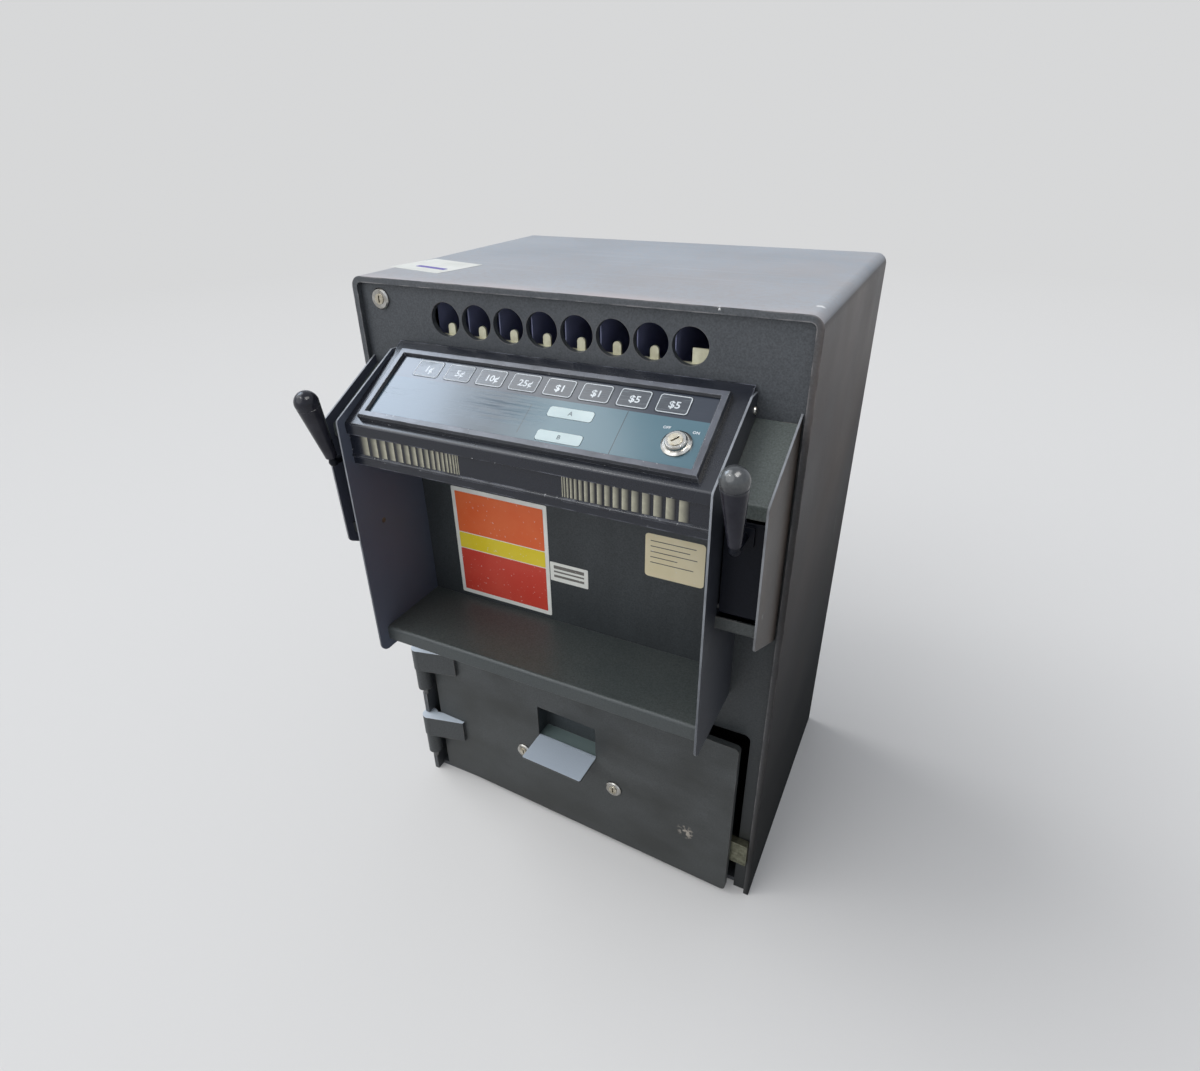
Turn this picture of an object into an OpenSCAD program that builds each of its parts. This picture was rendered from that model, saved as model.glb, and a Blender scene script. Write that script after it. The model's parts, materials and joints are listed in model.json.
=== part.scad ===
// Cash dispensing safe: a steel floor cabinet with a row of tube holes, a sloped
// keypad console over a pick-up tray, a tipping drop hopper on each side of it and a
// hinged vault door below, which stands just open on its thrown bolt.
// Millimetres. X runs to the right, Y to the back, Z up.
// The origin lies on the floor under the middle of the cabinet.

/* [Cabinet] */
// Cabinet width
body_w = 495; // [450:1:560]
// Cabinet depth from the front rim to the back
body_d = 356; // [300:1:420]
// Cabinet height
body_h = 726; // [700:1:800]
// Thickness of the cabinet plate
plate_t = 6.35; // [5:0.05:7]
// Outer radius of the bent top edges
bend_r = 12; // [9:0.5:16]
// How far the front panel lies behind the rim
panel_setback = 6; // [4:0.5:8]
// Diameter of the floor anchor holes
anchor_d = 14; // [10:0.5:18]
// Distance between the anchor holes across the width
anchor_span_x = 360; // [300:5:400]
// Distance between the anchor holes along the depth
anchor_span_y = 220; // [160:5:240]

/* [Tube row] */
// Metal left between two tube holes
tube_web = 3.2; // [2:0.1:6]
// Height of the cabinet top above the tube hole centres
tube_drop = 37.5; // [34:0.5:40]
// Width of a retaining finger
finger_w = 8.5; // [6:0.5:12]
// Depth of the tube columns
column_d = 150; // [120:1:200]

/* [Console] */
// Slope of the console lid
slope = 31; // [28:0.1:34]
// Slope of the top edges of the inner cheeks
cheek_slope = 28; // [25:0.1:31]
// Height of the cabinet top above the nose of the inner cheeks
console_drop = 120; // [112:1:130]
// How far the inner cheeks stand out from the rim
console_reach = 105; // [96:1:116]
// How far the front of the lid lies behind the front edges of the cheeks
lid_inset = 9.5; // [6:0.5:13]
// How far the front edge of the lid lies below the nose of the cheeks
lid_sink = 4.5; // [3:0.5:6]
// Lid shown between the keypad frame and an inner cheek
lid_margin = 15.7; // [12:0.1:20]
// Thickness of the cheeks and other folded sheet
sheet_t = 2; // [1.5:0.1:2.5]
// Height of the turned-down lip along the front of the lid
lid_lip = 11.5; // [8:0.5:14]
// Height from the bottom of the fascia to the front edge of the lid
fascia_h = 45.5; // [40:0.5:52]

/* [Keypad] */
// Overlay shown beyond the row of keys at each end
key_margin = 19.1; // [14:0.1:24]
// Width of the frame's face
frame_face = 8.3; // [7:0.1:10]
// Height of the frame above the lid
frame_h = 8; // [6:0.5:10]
// Space between two value keys
key_gap = 7.3; // [5:0.1:12]
// Length of a value key up the slope
key_l = 21.3; // [18:0.1:24]
// Travel of a key
key_travel = 0.6; // [0.3:0.1:0.9]

/* [Tray] */
// Depth of the tray shelf below the front edge of the lid
tray_drop = 261.5; // [240:0.5:275]
// How far the shelf stands out from the rim
tray_reach = 91; // [80:1:98]
// Height of the turned-down flange of the shelf
tray_flange = 17.5; // [12:0.5:24]

/* [Drops] */
// Space between an inner and an outer cheek
drop_w = 39.15; // [34:0.05:46]
// How far the outer cheeks stand out from the rim
outer_reach = 87; // [80:1:96]
// How far the drop covers and ledges stand out from the rim
drop_reach = 73; // [66:1:78]
// Height of the hopper's front plate
hopper_l = 95; // [86:1:104]
// Length of a grip without its ball end
grip_l = 66; // [56:1:76]
// Diameter of a grip's ball end
grip_d = 24.4; // [20:0.2:26]
// Forward lean of the grips from the vertical
grip_lean = 14.4; // [5:0.1:20]

/* [Vault door] */
// Height of the door
door_h = 244; // [220:1:260]
// Space between the door and the edge of its cut-out
door_gap = 7; // [4:0.1:10]
// Thickness of the folded door skin
skin_t = 3; // [2:0.1:3.5]
// Depth of the door skin's folded edges
door_fold = 8; // [6:0.5:10]
// Width of the pull opening and its bent-out lip
pull_w = 87; // [70:1:100]
// Height of the pull opening
pull_h = 50; // [40:1:56]
// Length of the bent-out lip
lip_l = 41; // [30:1:46]
// Height of the bolt
bolt_h = 34; // [28:1:38]
// Space left between the thrown bolt and the strip that it rests on
rest_gap = 0.8; // [0.4:0.1:4]

/* [Locks] */
// Diameter of a lock's face
lock_face_d = 22; // [20:0.5:26]
// Diameter of a lock's plug
plug_d = 11; // [9:0.5:13]
// Radius at which a lock's tail carries its drive pin, and the bolt's stroke
tail_r = 22; // [18:0.5:24]

/* [Fits] */
// Radial clearance of a shaft that turns in its hole
run_gap = 0.05; // [0.02:0.01:0.1]
// Clearance beside pieces that slide or swing
side_gap = 0.4; // [0.3:0.05:0.6]
// Clearance round a barrel or tube that is fixed in its hole
seat_gap = 0.2; // [0.1:0.05:0.4]

/* [Hidden] */
$fn = 64;

// Colours
steel = [0.21, 0.22, 0.23];
black = [0.05, 0.05, 0.06];
teal = [0.14, 0.26, 0.27];
pale = [0.82, 0.85, 0.82];
cream = [0.80, 0.78, 0.62];
nickel = [0.72, 0.70, 0.62];
zinc = [0.62, 0.62, 0.52];
bare = [0.45, 0.46, 0.47];

// Length by which a cutting solid passes the faces that it cuts.
past = 1;

// The rim plane is at y = 0 inside placed(), which moves it to the front of the cabinet.
rim_y = -body_d / 2;
inner_w = body_w - 2 * plate_t;
panel_back = panel_setback + plate_t;
back_y = body_d - plate_t;
corner_gap = 1;
corner_r = bend_r - plate_t + corner_gap;

// Places across the width, from the sides inwards
outer_gap = 2.5;
outer_x = inner_w / 2 - outer_gap;
outer_in = outer_x - sheet_t;
cheek_x = outer_in - drop_w;
cheek_in = cheek_x - sheet_t;
frame_w = 2 * (cheek_in - lid_margin);
opening_w = frame_w - 2 * frame_face;
row_w = opening_w - 2 * key_margin;

// Cord bushing in the back plate
cord_r = 5;
bushing_r = 8;
bushing_rim = 3;
bushing_h = 3;
bushing_inset = 50;
bushing_z = 296;

// Tube row
tube_count = 8;
tube_pitch = row_w / tube_count;
tube_hole_d = tube_pitch - tube_web;
tube_z = body_h - tube_drop;
comb_d = 7.6;
comb_h = 16;
comb_top = tube_z - tube_hole_d / 2;
finger_t = 2.5;
finger_inset = 3;
finger_y = panel_back + finger_inset;
finger_h = 12;
end_block_w = 22;
end_block_h = 14;
end_block_left = 1;
divider_t = 1.2;
column_t = 1.5;
column_y = panel_back + comb_d;
column_back = column_y + column_d;
column_gap = 14;
column_top = body_h - column_gap;
column_fall = 0.45;

// Keypad, in the plane of the lid: u across, v up the slope
lid_y = -console_reach + lid_inset;
lid_end_gap = 1;
lid_end_y = panel_setback - lid_end_gap;
lid_l = (lid_end_y - lid_y) / cos(slope);
frame_v = 7.1;
frame_back = 16.1;
frame_l = lid_l - frame_back - frame_v;
frame_foot = 0.7 * frame_h;
frame_outer_bevel = 1.6;
frame_inner_bevel = 1.4;
opening_v = frame_v + frame_face;
opening_l = frame_l - 2 * frame_face;
key_edge = 13;
key_w = tube_pitch - key_gap;
key_v = opening_v + opening_l - key_edge;
key_rise = 0.35;
key_r = 3;
overlay_t = 2.4;
key_rest = 0.2;
cap_t = overlay_t - key_travel - key_rest;
base_t = 2;
base_rest = 6;
pad_rise = overlay_t + base_t;
wide_w = 46;
wide_l = 11.8;
wide_edge = 128.5;
wide_u = opening_w / 2 - wide_edge;
wide_span = opening_l - key_edge - key_l / 2;
wide_vs = [opening_v + 0.677 * wide_span, opening_v + 0.165 * wide_span];
switch_edge = 21.3;
switch_u = opening_w / 2 - switch_edge;
switch_v = opening_v + 0.43 * wide_span;
switch_r = 13.5;
switch_barrel_r = 9;
switch_depth = 26;
switch_plug_r = 6.4;
switch_slot_l = 8;
collar_h = 6.6;
lever_w = 8;
lever_l = 14;
switch_nut_r = 13;
switch_nut_h = 4;
controller_w = 190;
controller_h = 26;
controller_shift = 20;
controller_edge = 12;

// Console
knee_z = body_h - console_drop;
lid_z = knee_z - lid_sink;
cheek_flat_y = -11;
cheek_flat_z = knee_z + (cheek_flat_y + console_reach) * tan(cheek_slope);
cheek_knee_r = 5;
cheek_foot_r = 12;
cheek_foot = 29.5;
lid_t = 2.4;
lid_end_z = lid_z + (lid_end_y - lid_y) * tan(slope);
lid_bend_r = 3.4;
fascia_gap = 1.1;
fascia_y = lid_y + lid_t + fascia_gap;
fascia_low = lid_z - fascia_h;
fascia_tuck = 4;
floor_t = 1.5;
floor_rise = 1;
bead_r = 1.5;
bead_up = 9.5;
bead_z = fascia_low + bead_up;
screw_r = 4;
screw_in = 11;
screw_drop = 15.2;

// Tray and vend slot
tray_z = knee_z - tray_drop;
cheek_low = tray_z - cheek_foot;
vend_rise = 4;
vend_top = fascia_low + vend_rise;
vend_h = 56;
vend_low = vend_top - vend_h;
vend_sill = 2;

// Drops, drawn on the right and mirrored to the left
outer_rise = 35.5;
outer_fall = 14;
outer_top = knee_z + outer_rise;
outer_knee = knee_z - outer_fall;
outer_taper = 4;
outer_knee_r = 5;
outer_foot_r = 8;
cover_rise = 26;
cover_fall = 19.5;
cover_lip = 13;
cover_bend_r = 3;
cover_top = knee_z + cover_rise;
cover_knee = knee_z - cover_fall;
cover_low = cover_knee - cover_lip;
hopper_gap = 2.5;
hopper_side = 2;
hopper_skirt = 2;
hopper_t = 2;
pivot_r = 3;
pivot_inset = 7;
barrel_r = 5.5;
pivot_y = -drop_reach + pivot_inset;
pivot_z = cover_low - hopper_gap - hopper_l;
hopper_face_y = pivot_y - barrel_r;
drop_mid = (cheek_x + outer_in) / 2;
hopper_w = outer_in - cheek_x - 2 * hopper_side;
shelf_clear = 4;
shelf_l = panel_setback - shelf_clear - pivot_y;
shelf_fall = 30;
wing_t = 1.5;
wing_top = 6.5;
wing_edge = 3;
arm_r = 4.2;
arm_knuckle_r = 5;
arm_l = 27;
arm_down = 14;
arm_up = 26;
arm_y = -drop_reach - arm_l;
arm_z = pivot_z + hopper_l - arm_down;
foot_t = 2.5;
foot_h = 18;
foot_w = hopper_w / 2;
grip_neck_d = 12;
grip_start = 6;
grip_groove = 0.5;
grip_round = 0.8;
ledge_gap = 8;
ledge_h = 13;
ledge_top = pivot_z - ledge_gap;
ledge_low = ledge_top - ledge_h;
outer_below = 7;
outer_slant = 48;
outer_foot = ledge_low - outer_below;
outer_low = outer_foot - outer_slant;
floor_low = outer_low + outer_below;
duct_d = 72;
duct_t = 1.5;
duct_side = 0.5;
port_side = 2;
port_w = outer_in - cheek_x - 2 * port_side;
port_edge = 4;
port_up = 5;
port_down = 9;

// Vault and door; the door is drawn shut and then swung open by door_ajar
door_low = 9.5;
door_y = 9;
door_r = 6;
door_top = door_low + door_h;
vault_top = door_top + door_gap;
ceiling_gap = 7;
ceiling_t = 3;
ceiling_z = vault_top + ceiling_gap;
jamb_w = 14.65;
jamb_x = inner_w / 2 - jamb_w;
jamb_r = 8;
hinge_inset = 7.5;
hinge_x = -(body_w / 2 - hinge_inset);
knuckle_r = 10;
knuckle_h = 36;
knuckle_gap = 0.3;
eye_r = 11;
eye_cap = 7;
pin_r = 4;
pin_tail = 13;
pin_point = 1;
strap_h = 34;
strap_l = 56;
strap_t = 4.4;
strap_low = 79.5;
strap_drop = 52.5;
strap_zs = [strap_low, door_top - strap_drop];
notch_d = 12;
notch_gap = 1;
hinge_gap = 13;
door_left = hinge_x + hinge_gap;
door_right = jamb_x - door_gap;
door_w = door_right - door_left;
backer_y = door_y + skin_t;
backer_t = door_fold - skin_t;
backer_side = 15;
backer_end = 10;
pull_shift = 5.3;
pull_mid = (door_left + door_right) / 2 - pull_shift;
pull_drop = 103.5;
pull_low = door_top - pull_drop;
lip_droop = 4;
lip_r = 2;
pan_t = 1.5;
pan_d = 24;
pan_side = 3.6;
lock_drop = 41;
lock_z = pull_low - lock_drop;
lock_side = 26.5;
lock_xs = [pull_mid - pull_w / 2 - lock_side, pull_mid + pull_w / 2 + lock_side];
bolt_t = 10;
bolt_gap = 0.6;
bolt_drop = 16;
bolt_tip_gap = 1.05;
bolt_tail = 21;
bolt_r = 1.5;
bolt_low = lock_z - bolt_drop - bolt_h;
bolt_y = backer_y + backer_t + bolt_gap;
bolt_end = inner_w / 2 - bolt_tip_gap;
bolt_start = lock_xs[1] - bolt_tail;
guide_w = 16;
guide_t = 4;
guide_edge = 5;
guide_far = 100;
guide_near = 36;
guide_xs = [door_right - guide_far, door_right - guide_near];

// The door rests where the bolt's back face meets the edge of the jamb strip.
bolt_corner = [jamb_x - hinge_x, bolt_y + bolt_t];
rest_angle = asin((panel_setback - rest_gap) / norm(bolt_corner));
door_ajar = atan2(bolt_corner[1], bolt_corner[0]) - rest_angle;

// Locks
lock_face_t = 3;
lock_face_bevel = 1.3;
lock_barrel_r = 9.4;
lock_barrel_l = 24;
plug_r = plug_d / 2;
plug_proud = 0.8;
plug_end = 0.3;
tail_y = lock_barrel_l + plug_end;
slot_w = 1.6;
slot_l = 7.2;
slot_d = 4.2;
tail_t = 2.5;
tail_w = 10;
tail_end = 5;
drive_r = 3;
drive_inset = 1;
drive_gap = 0.8;
drive_room = drive_r + drive_gap;
drive_lag = 0.21 * tail_r;
top_lock_inset = 32.2;
top_lock_drop = 22.6;
top_lock_x = -(body_w / 2 - top_lock_inset);
top_lock_z = body_h - top_lock_drop;
top_tail_l = top_lock_inset - plate_t - tail_end;

// Moves a piece drawn from the rim plane to its place in the cabinet.
module placed() translate([0, rim_y, 0]) children();

// Swings a piece of the shut door out to where the door stands.
module door_swung() {
    placed() translate([hinge_x, 0, 0]) rotate([0, 0, -door_ajar]) translate([-hinge_x, 0, 0]) children();
}

// Lays a piece drawn in u, v and height on the plane of the console lid.
module on_slope() placed() translate([0, lid_y, lid_z]) rotate([slope, 0, 0]) children();

// Puts pieces drawn on the overlay's face in place above the lid.
module on_pad() on_slope() translate([0, 0, pad_rise]) children();

// Mirrors a piece of the right half to the named side.
module to_side(side) mirror([side < 0 ? 1 : 0, 0, 0]) children();

// Draws a piece of the right drop on the named side.
module on_side(side) placed() to_side(side) children();

// Extrudes a (y, z) outline along X from x0 to x1.
module along_x(x0, x1) translate([x0, 0, 0]) rotate([90, 0, 90]) linear_extrude(x1 - x0) children();

// Extrudes an (x, z) outline along Y from y0 to y1.
module along_y(y0, y1) translate([0, y1, 0]) rotate([90, 0, 0]) linear_extrude(y1 - y0) children();

// A shaft along Y from y0 to y1, centred at x and z.
module shaft_y(x, z, r, y0, y1) translate([x, y1, z]) rotate([90, 0, 0]) cylinder(r = r, h = y1 - y0);

// A shaft along X from x0 to x1, centred at y and z.
module shaft_x(y, z, r, x0, x1) translate([x0, y, z]) rotate([0, 90, 0]) cylinder(r = r, h = x1 - x0);

// Rectangle with round corners, from its lower left corner.
module round_rect(w, h, r) {
    translate([r, 0]) square([w - 2 * r, h]);
    translate([0, r]) square([w, h - 2 * r]);
    for (x = [r, w - r], y = [r, h - r]) translate([x, y]) circle(r);
}

// Rectangle centred on X that stands on z = 0 and has round top corners.
module arch_rect(w, h, r) {
    translate([-w / 2, 0]) square([w, h - r]);
    translate([-w / 2 + r, 0]) square([w - 2 * r, h]);
    for (s = [-1, 1]) translate([s * (w / 2 - r), h - r]) circle(r);
}

// Unit vector from one point to another.
function toward(a, b) = (b - a) / norm(b - a);

// Angle inside the corner p between its neighbours a and b.
function corner_angle(a, p, b) = acos(toward(p, a) * toward(p, b));

// Distance from a corner to where a rounding of radius r leaves its sides.
function corner_cut(a, p, b, r) = r / tan(corner_angle(a, p, b) / 2);

// Centre of the rounding of radius r in the corner p.
function corner_centre(a, p, b, r) =
    p + norm([corner_cut(a, p, b, r), r]) * toward([0, 0], toward(p, a) + toward(p, b));

// Convex outline whose corners are rounded by the radii given, 0 for a sharp corner.
module round_outline(points, radii) {
    n = len(points);
    function before(i) = points[(i + n - 1) % n];
    function after(i) = points[(i + 1) % n];
    polygon([for (i = [0 : n - 1], side = [before(i), after(i)])
        if (radii[i] > 0 || side == after(i))
            points[i] + corner_cut(before(i), points[i], after(i), radii[i]) * toward(points[i], side)]);
    for (i = [0 : n - 1]) if (radii[i] > 0)
        translate(corner_centre(before(i), points[i], after(i), radii[i])) circle(radii[i]);
}

// What a rounding of radius r takes off the corner p, with some of the space outside it.
module corner_waste(a, p, b, r) {
    cut = corner_cut(a, p, b, r);
    centre = corner_centre(a, p, b, r);
    kite = [centre, p + cut * toward(p, a), p, p + cut * toward(p, b)];
    difference() {
        polygon([for (q = kite) centre + 2 * (q - centre)]);
        translate(centre) circle(r);
    }
}

// Section of a sheet with one bend: an upright lip from (front, lip) to (front, knee), and from
// there a slope to (back, end).
module bent_sheet(front, lip, knee, back, end, t, r) {
    inward = sign(lip - knee);
    rise = atan2(end - knee, back - front);
    inner_knee = knee + t * tan(rise) + inward * t / cos(rise);
    inner_end = inner_knee + (back + past - front - t) * tan(rise);
    inner_lip = lip + inward * past;
    difference() {
        polygon([[front, lip], [front, knee], [back, end], [back, lip]]);
        polygon([[front + t, inner_lip], [front + t, inner_knee],
                 [back + past, inner_end], [back + past, inner_lip]]);
        corner_waste([front, lip], [front, knee], [back, end], r);
    }
}

// Top and sides of the cabinet, bent from one plate and notched for the hinges.
module cabinet_wrap() color(steel) placed() difference() {
    along_y(0, body_d) difference() {
        arch_rect(body_w, body_h, bend_r);
        translate([0, -past]) arch_rect(inner_w, body_h - plate_t + past, bend_r - plate_t);
    }
    for (z = strap_zs)
        translate([-body_w / 2 - past, -past, z - knuckle_h - pin_tail])
            cube([plate_t + 2 * past, notch_d + past, knuckle_h + pin_tail + strap_h + notch_gap]);
}

// Plate that closes the back, with the hole for the cord.
module back_plate() color(steel) placed() difference() {
    translate([0, 0, plate_t]) along_y(back_y, body_d) arch_rect(inner_w, body_h - 2 * plate_t, corner_r);
    shaft_y(inner_w / 2 - bushing_inset, bushing_z, bushing_r, back_y - past, body_d + past);
}

// Floor of the cabinet with four anchor holes, set back behind the door.
module bottom_plate() color(steel) difference() {
    translate([-inner_w / 2, rim_y + panel_back, 0]) cube([inner_w, body_d - panel_back, plate_t]);
    for (sx = [-1, 1], sy = [-1, 1])
        translate([sx * anchor_span_x / 2, sy * anchor_span_y / 2, -past])
            cylinder(d = anchor_d, h = plate_t + 2 * past);
}

// Upper part of the front panel with the row of tube holes and the lock hole.
module tube_panel() color(steel) placed() difference() {
    translate([0, 0, cover_top]) along_y(panel_setback, panel_back)
        arch_rect(inner_w, body_h - plate_t - cover_top, corner_r);
    for (i = [0 : tube_count - 1])
        shaft_y(tube_x(i), tube_z, tube_hole_d / 2, panel_setback - past, panel_back + past);
    shaft_y(top_lock_x, top_lock_z, lock_barrel_r + seat_gap, panel_setback - past, panel_back + past);
}

// Place of a tube hole across the cabinet, counted from the left.
function tube_x(i) = (i - (tube_count - 1) / 2) * tube_pitch;

// Middle of the front panel, behind the console, the tray and the drops.
module front_panel() color(steel) placed() difference() {
    translate([-inner_w / 2, panel_setback, vault_top]) cube([inner_w, plate_t, cover_top - vault_top]);
    translate([-row_w / 2, panel_setback - past, vend_low]) cube([row_w, plate_t + 2 * past, vend_h]);
    for (side = [-1, 1]) to_side(side)
        translate([cheek_x + port_side, panel_setback - past, floor_low + port_up])
            cube([port_w, plate_t + 2 * past, cover_top - port_down - floor_low - port_up]);
}

// Strip of the front panel beside the vault door, which the bolt catches behind.
module jamb_strip() color(steel) placed() along_y(panel_setback, panel_back) {
    translate([jamb_x, 0]) square([jamb_w, vault_top]);
    translate([jamb_x - jamb_r, vault_top - jamb_r]) difference() {
        square(jamb_r);
        circle(jamb_r);
    }
}

// Plate between the vault and the tube columns, open below the drop ducts.
module vault_ceiling() color(bare) placed() difference() {
    translate([-inner_w / 2, panel_back, ceiling_z]) cube([inner_w, back_y - panel_back, ceiling_t]);
    for (side = [-1, 1]) to_side(side)
        translate([cheek_x + port_side, panel_back + port_edge, ceiling_z - past])
            cube([port_w, duct_d - 2 * port_edge, ceiling_t + 2 * past]);
}

// Bushing for the cord in the back plate.
module cord_bushing() color(black) placed()
    translate([inner_w / 2 - bushing_inset, back_y - bushing_h, bushing_z]) rotate([-90, 0, 0])
        rotate_extrude() polygon([
            [cord_r, 0], [bushing_r - seat_gap, 0], [bushing_r - seat_gap, plate_t + bushing_h],
            [bushing_r + bushing_rim, plate_t + bushing_h],
            [bushing_r + bushing_rim, plate_t + 1.7 * bushing_h],
            [bushing_r + bushing_rim / 2, plate_t + 2 * bushing_h], [cord_r, plate_t + 2 * bushing_h]]);

// Height of the columns' sloping floor at a depth y.
function column_floor(y) = vend_low + vend_sill + (y - panel_back) * column_fall;

// Back and sloping floor of the tube columns, which lets a tube slide out to the tray.
module tube_magazine() color(bare) placed()
    along_x(-row_w / 2 - divider_t / 2, row_w / 2 + divider_t / 2) polygon([
        [panel_back, column_floor(panel_back) - column_t],
        [column_back + column_t, column_floor(column_back + column_t) - column_t],
        [column_back + column_t, column_top], [column_back, column_top],
        [column_back, column_floor(column_back)], [panel_back, column_floor(panel_back)]]);

// Upright plates between the tube columns.
module tube_dividers() color(bare) placed() for (i = [0 : tube_count])
    translate([(i - tube_count / 2) * tube_pitch, 0, 0]) along_x(-divider_t / 2, divider_t / 2) polygon([
        [column_y, column_floor(column_y)], [column_back, column_floor(column_back)],
        [column_back, column_top], [column_y, column_top]]);

// Cream comb behind the panel, with a finger at each tube hole and a block at the last.
module tube_comb() color(cream) placed() {
    translate([-row_w / 2, panel_back, comb_top - comb_h]) cube([row_w, comb_d, comb_h]);
    translate([0, 0, comb_top - past]) {
        for (i = [0 : tube_count - 2]) translate([tube_x(i), 0, 0])
            along_y(finger_y, finger_y + finger_t) arch_rect(finger_w, finger_h + past, 0.48 * finger_w);
        translate([tube_x(tube_count - 1) - end_block_left, finger_y, 0])
            cube([end_block_w, finger_t, end_block_h + past]);
    }
}

// Ducts behind the front panel that lead each drop down into the vault.
module drop_ducts() color(bare) for (side = [-1, 1]) on_side(side) {
    w = outer_x - cheek_x - 2 * duct_side;
    z0 = ceiling_z + ceiling_t;
    translate([cheek_x + duct_side, panel_back, z0]) difference() {
        cube([w, duct_d, cover_top - z0]);
        translate([duct_t, -past, -past])
            cube([w - 2 * duct_t, duct_d - duct_t + past, cover_top - z0 - duct_t + past]);
    }
}

// Inner cheek: side plate of the console and the tray.
module inner_cheek(side) color(black) on_side(side) difference() {
    along_x(cheek_in, cheek_x) round_outline(
        [[panel_setback, cheek_low], [panel_setback, cheek_flat_z], [cheek_flat_y, cheek_flat_z],
         [-console_reach, knee_z], [-console_reach, cheek_low]],
        [0, 0, 0, cheek_knee_r, cheek_foot_r]);
    shaft_x(pivot_y, pivot_z, pivot_r + run_gap, cheek_in - past, cheek_x + past);
}

// Shelf of the pick-up tray with its turned-down front flange.
module tray_shelf() color(steel) placed() along_x(-cheek_in, cheek_in)
    bent_sheet(-tray_reach, tray_z - tray_flange, tray_z, panel_setback, tray_z, sheet_t, 2 * sheet_t);

// Sloped lid of the console with a turned-down lip and the keypad opening.
module console_lid() color(black) difference() {
    placed() along_x(-cheek_in, cheek_in)
        bent_sheet(lid_y, lid_z - lid_lip, lid_z, lid_end_y, lid_end_z, lid_t, lid_bend_r);
    on_slope() translate([-opening_w / 2 + base_rest, opening_v + base_rest, -lid_t - past])
        cube([opening_w - 2 * base_rest, opening_l - 2 * base_rest, lid_t + 2 * past]);
}

// Fascia below the lid with a bead along its lower part, folded back below to close the console.
module fascia() color(black) placed() along_x(-cheek_in, cheek_in) {
    translate([fascia_y, fascia_low]) square([sheet_t, fascia_h - fascia_tuck]);
    polygon([[fascia_y, fascia_low], [panel_setback, vend_top + floor_rise],
             [panel_setback, vend_top + floor_rise + floor_t], [fascia_y, fascia_low + floor_t]]);
    intersection() {
        translate([fascia_y, bead_z]) circle(bead_r);
        translate([fascia_y - bead_r, bead_z - bead_r]) square([bead_r + sheet_t / 4, 2 * bead_r]);
    }
}

// Section of the keypad frame's outside along a side of length l, in place and height.
module frame_outside(l) polygon([
    [-l / 2, 0], [-l / 2, frame_foot], [-l / 2 + frame_outer_bevel, frame_h],
    [l / 2 - frame_outer_bevel, frame_h], [l / 2, frame_foot], [l / 2, 0]]);

// Section of the keypad frame's opening, which widens above its inner edge.
module frame_inside(l) {
    edge = 0.7 * frame_h;
    flare = frame_inner_bevel * (frame_h + past - edge) / (frame_h - edge);
    polygon([[-l / 2, -past], [-l / 2, edge], [-l / 2 - flare, frame_h + past],
             [l / 2 + flare, frame_h + past], [l / 2, edge], [l / 2, -past]]);
}

// Keypad frame, bevelled outside and inside.
module keypad_frame() color(black) on_slope() translate([0, frame_v + frame_l / 2, 0]) difference() {
    intersection() {
        along_y(-frame_l, frame_l) frame_outside(frame_w);
        along_x(-frame_w, frame_w) frame_outside(frame_l);
    }
    intersection() {
        along_y(-frame_l, frame_l) frame_inside(opening_w);
        along_x(-frame_w, frame_w) frame_inside(opening_l);
    }
}

// Plate on the lid that carries the overlay, the switch and the keys.
module keypad_base() color(bare) on_slope() difference() {
    translate([-opening_w / 2 + seat_gap, opening_v + seat_gap, 0])
        cube([opening_w - 2 * seat_gap, opening_l - 2 * seat_gap, base_t]);
    translate([switch_u, switch_v, -past]) cylinder(r = switch_barrel_r + seat_gap, h = base_t + 2 * past);
}

// Overlay panel with a window for each key.
module keypad_overlay() color(teal) on_pad() difference() {
    translate([-opening_w / 2 + seat_gap, opening_v + seat_gap, -overlay_t])
        cube([opening_w - 2 * seat_gap, opening_l - 2 * seat_gap, overlay_t]);
    for (i = [0 : tube_count - 1])
        key_block(tube_x(i), key_v, key_w, key_l, side_gap, -overlay_t - past, past);
    for (v = wide_vs) key_block(wide_u, v, wide_w, wide_l, side_gap, -overlay_t - past, past);
    translate([switch_u, switch_v, -overlay_t - past])
        cylinder(r = switch_barrel_r + seat_gap, h = overlay_t + 2 * past);
}

// Key outline grown by a clearance, from height h0 to h1 over the overlay's face.
module key_block(u, v, w, l, grow, h0, h1)
    translate([u - w / 2 - grow, v - l / 2 - grow, h0])
        linear_extrude(h1 - h0) round_rect(w + 2 * grow, l + 2 * grow, key_r + grow);

// Value key under a tube hole, counted from the left.
module value_key(i) color(black) on_pad() key_block(tube_x(i), key_v, key_w, key_l, 0, -cap_t, key_rise);

// Pale function key.
module wide_key(i) color(pale) on_pad() key_block(wide_u, wide_vs[i], wide_w, wide_l, 0, -cap_t, key_rise);

// Box of the control electronics under the keypad base.
module controller_box() color(bare) on_pad()
    translate([-controller_w / 2 - controller_shift, opening_v + controller_edge, -overlay_t - base_t])
        mirror([0, 0, 1]) cube([controller_w, opening_l - 2 * controller_edge, controller_h]);

// Body of the key switch with its stepped collar and its nut below the base.
module switch_body() color(nickel) on_pad() translate([switch_u, switch_v, 0]) {
    rotate_extrude() polygon([
        [switch_plug_r + run_gap, -switch_depth], [switch_barrel_r, -switch_depth], [switch_barrel_r, 0],
        [switch_r, 0], [switch_r, 0.24 * collar_h], [0.84 * switch_r, 0.45 * collar_h],
        [0.76 * switch_r, 0.45 * collar_h], [0.73 * switch_r, 0.82 * collar_h],
        [0.66 * switch_r, collar_h], [switch_plug_r + run_gap, collar_h]]);
    translate([0, 0, -overlay_t - base_t - switch_nut_h]) difference() {
        cylinder(r = switch_nut_r, h = switch_nut_h, $fn = 6);
        translate([0, 0, -past]) cylinder(r = switch_barrel_r - seat_gap / 2, h = switch_nut_h + 2 * past);
    }
}

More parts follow.
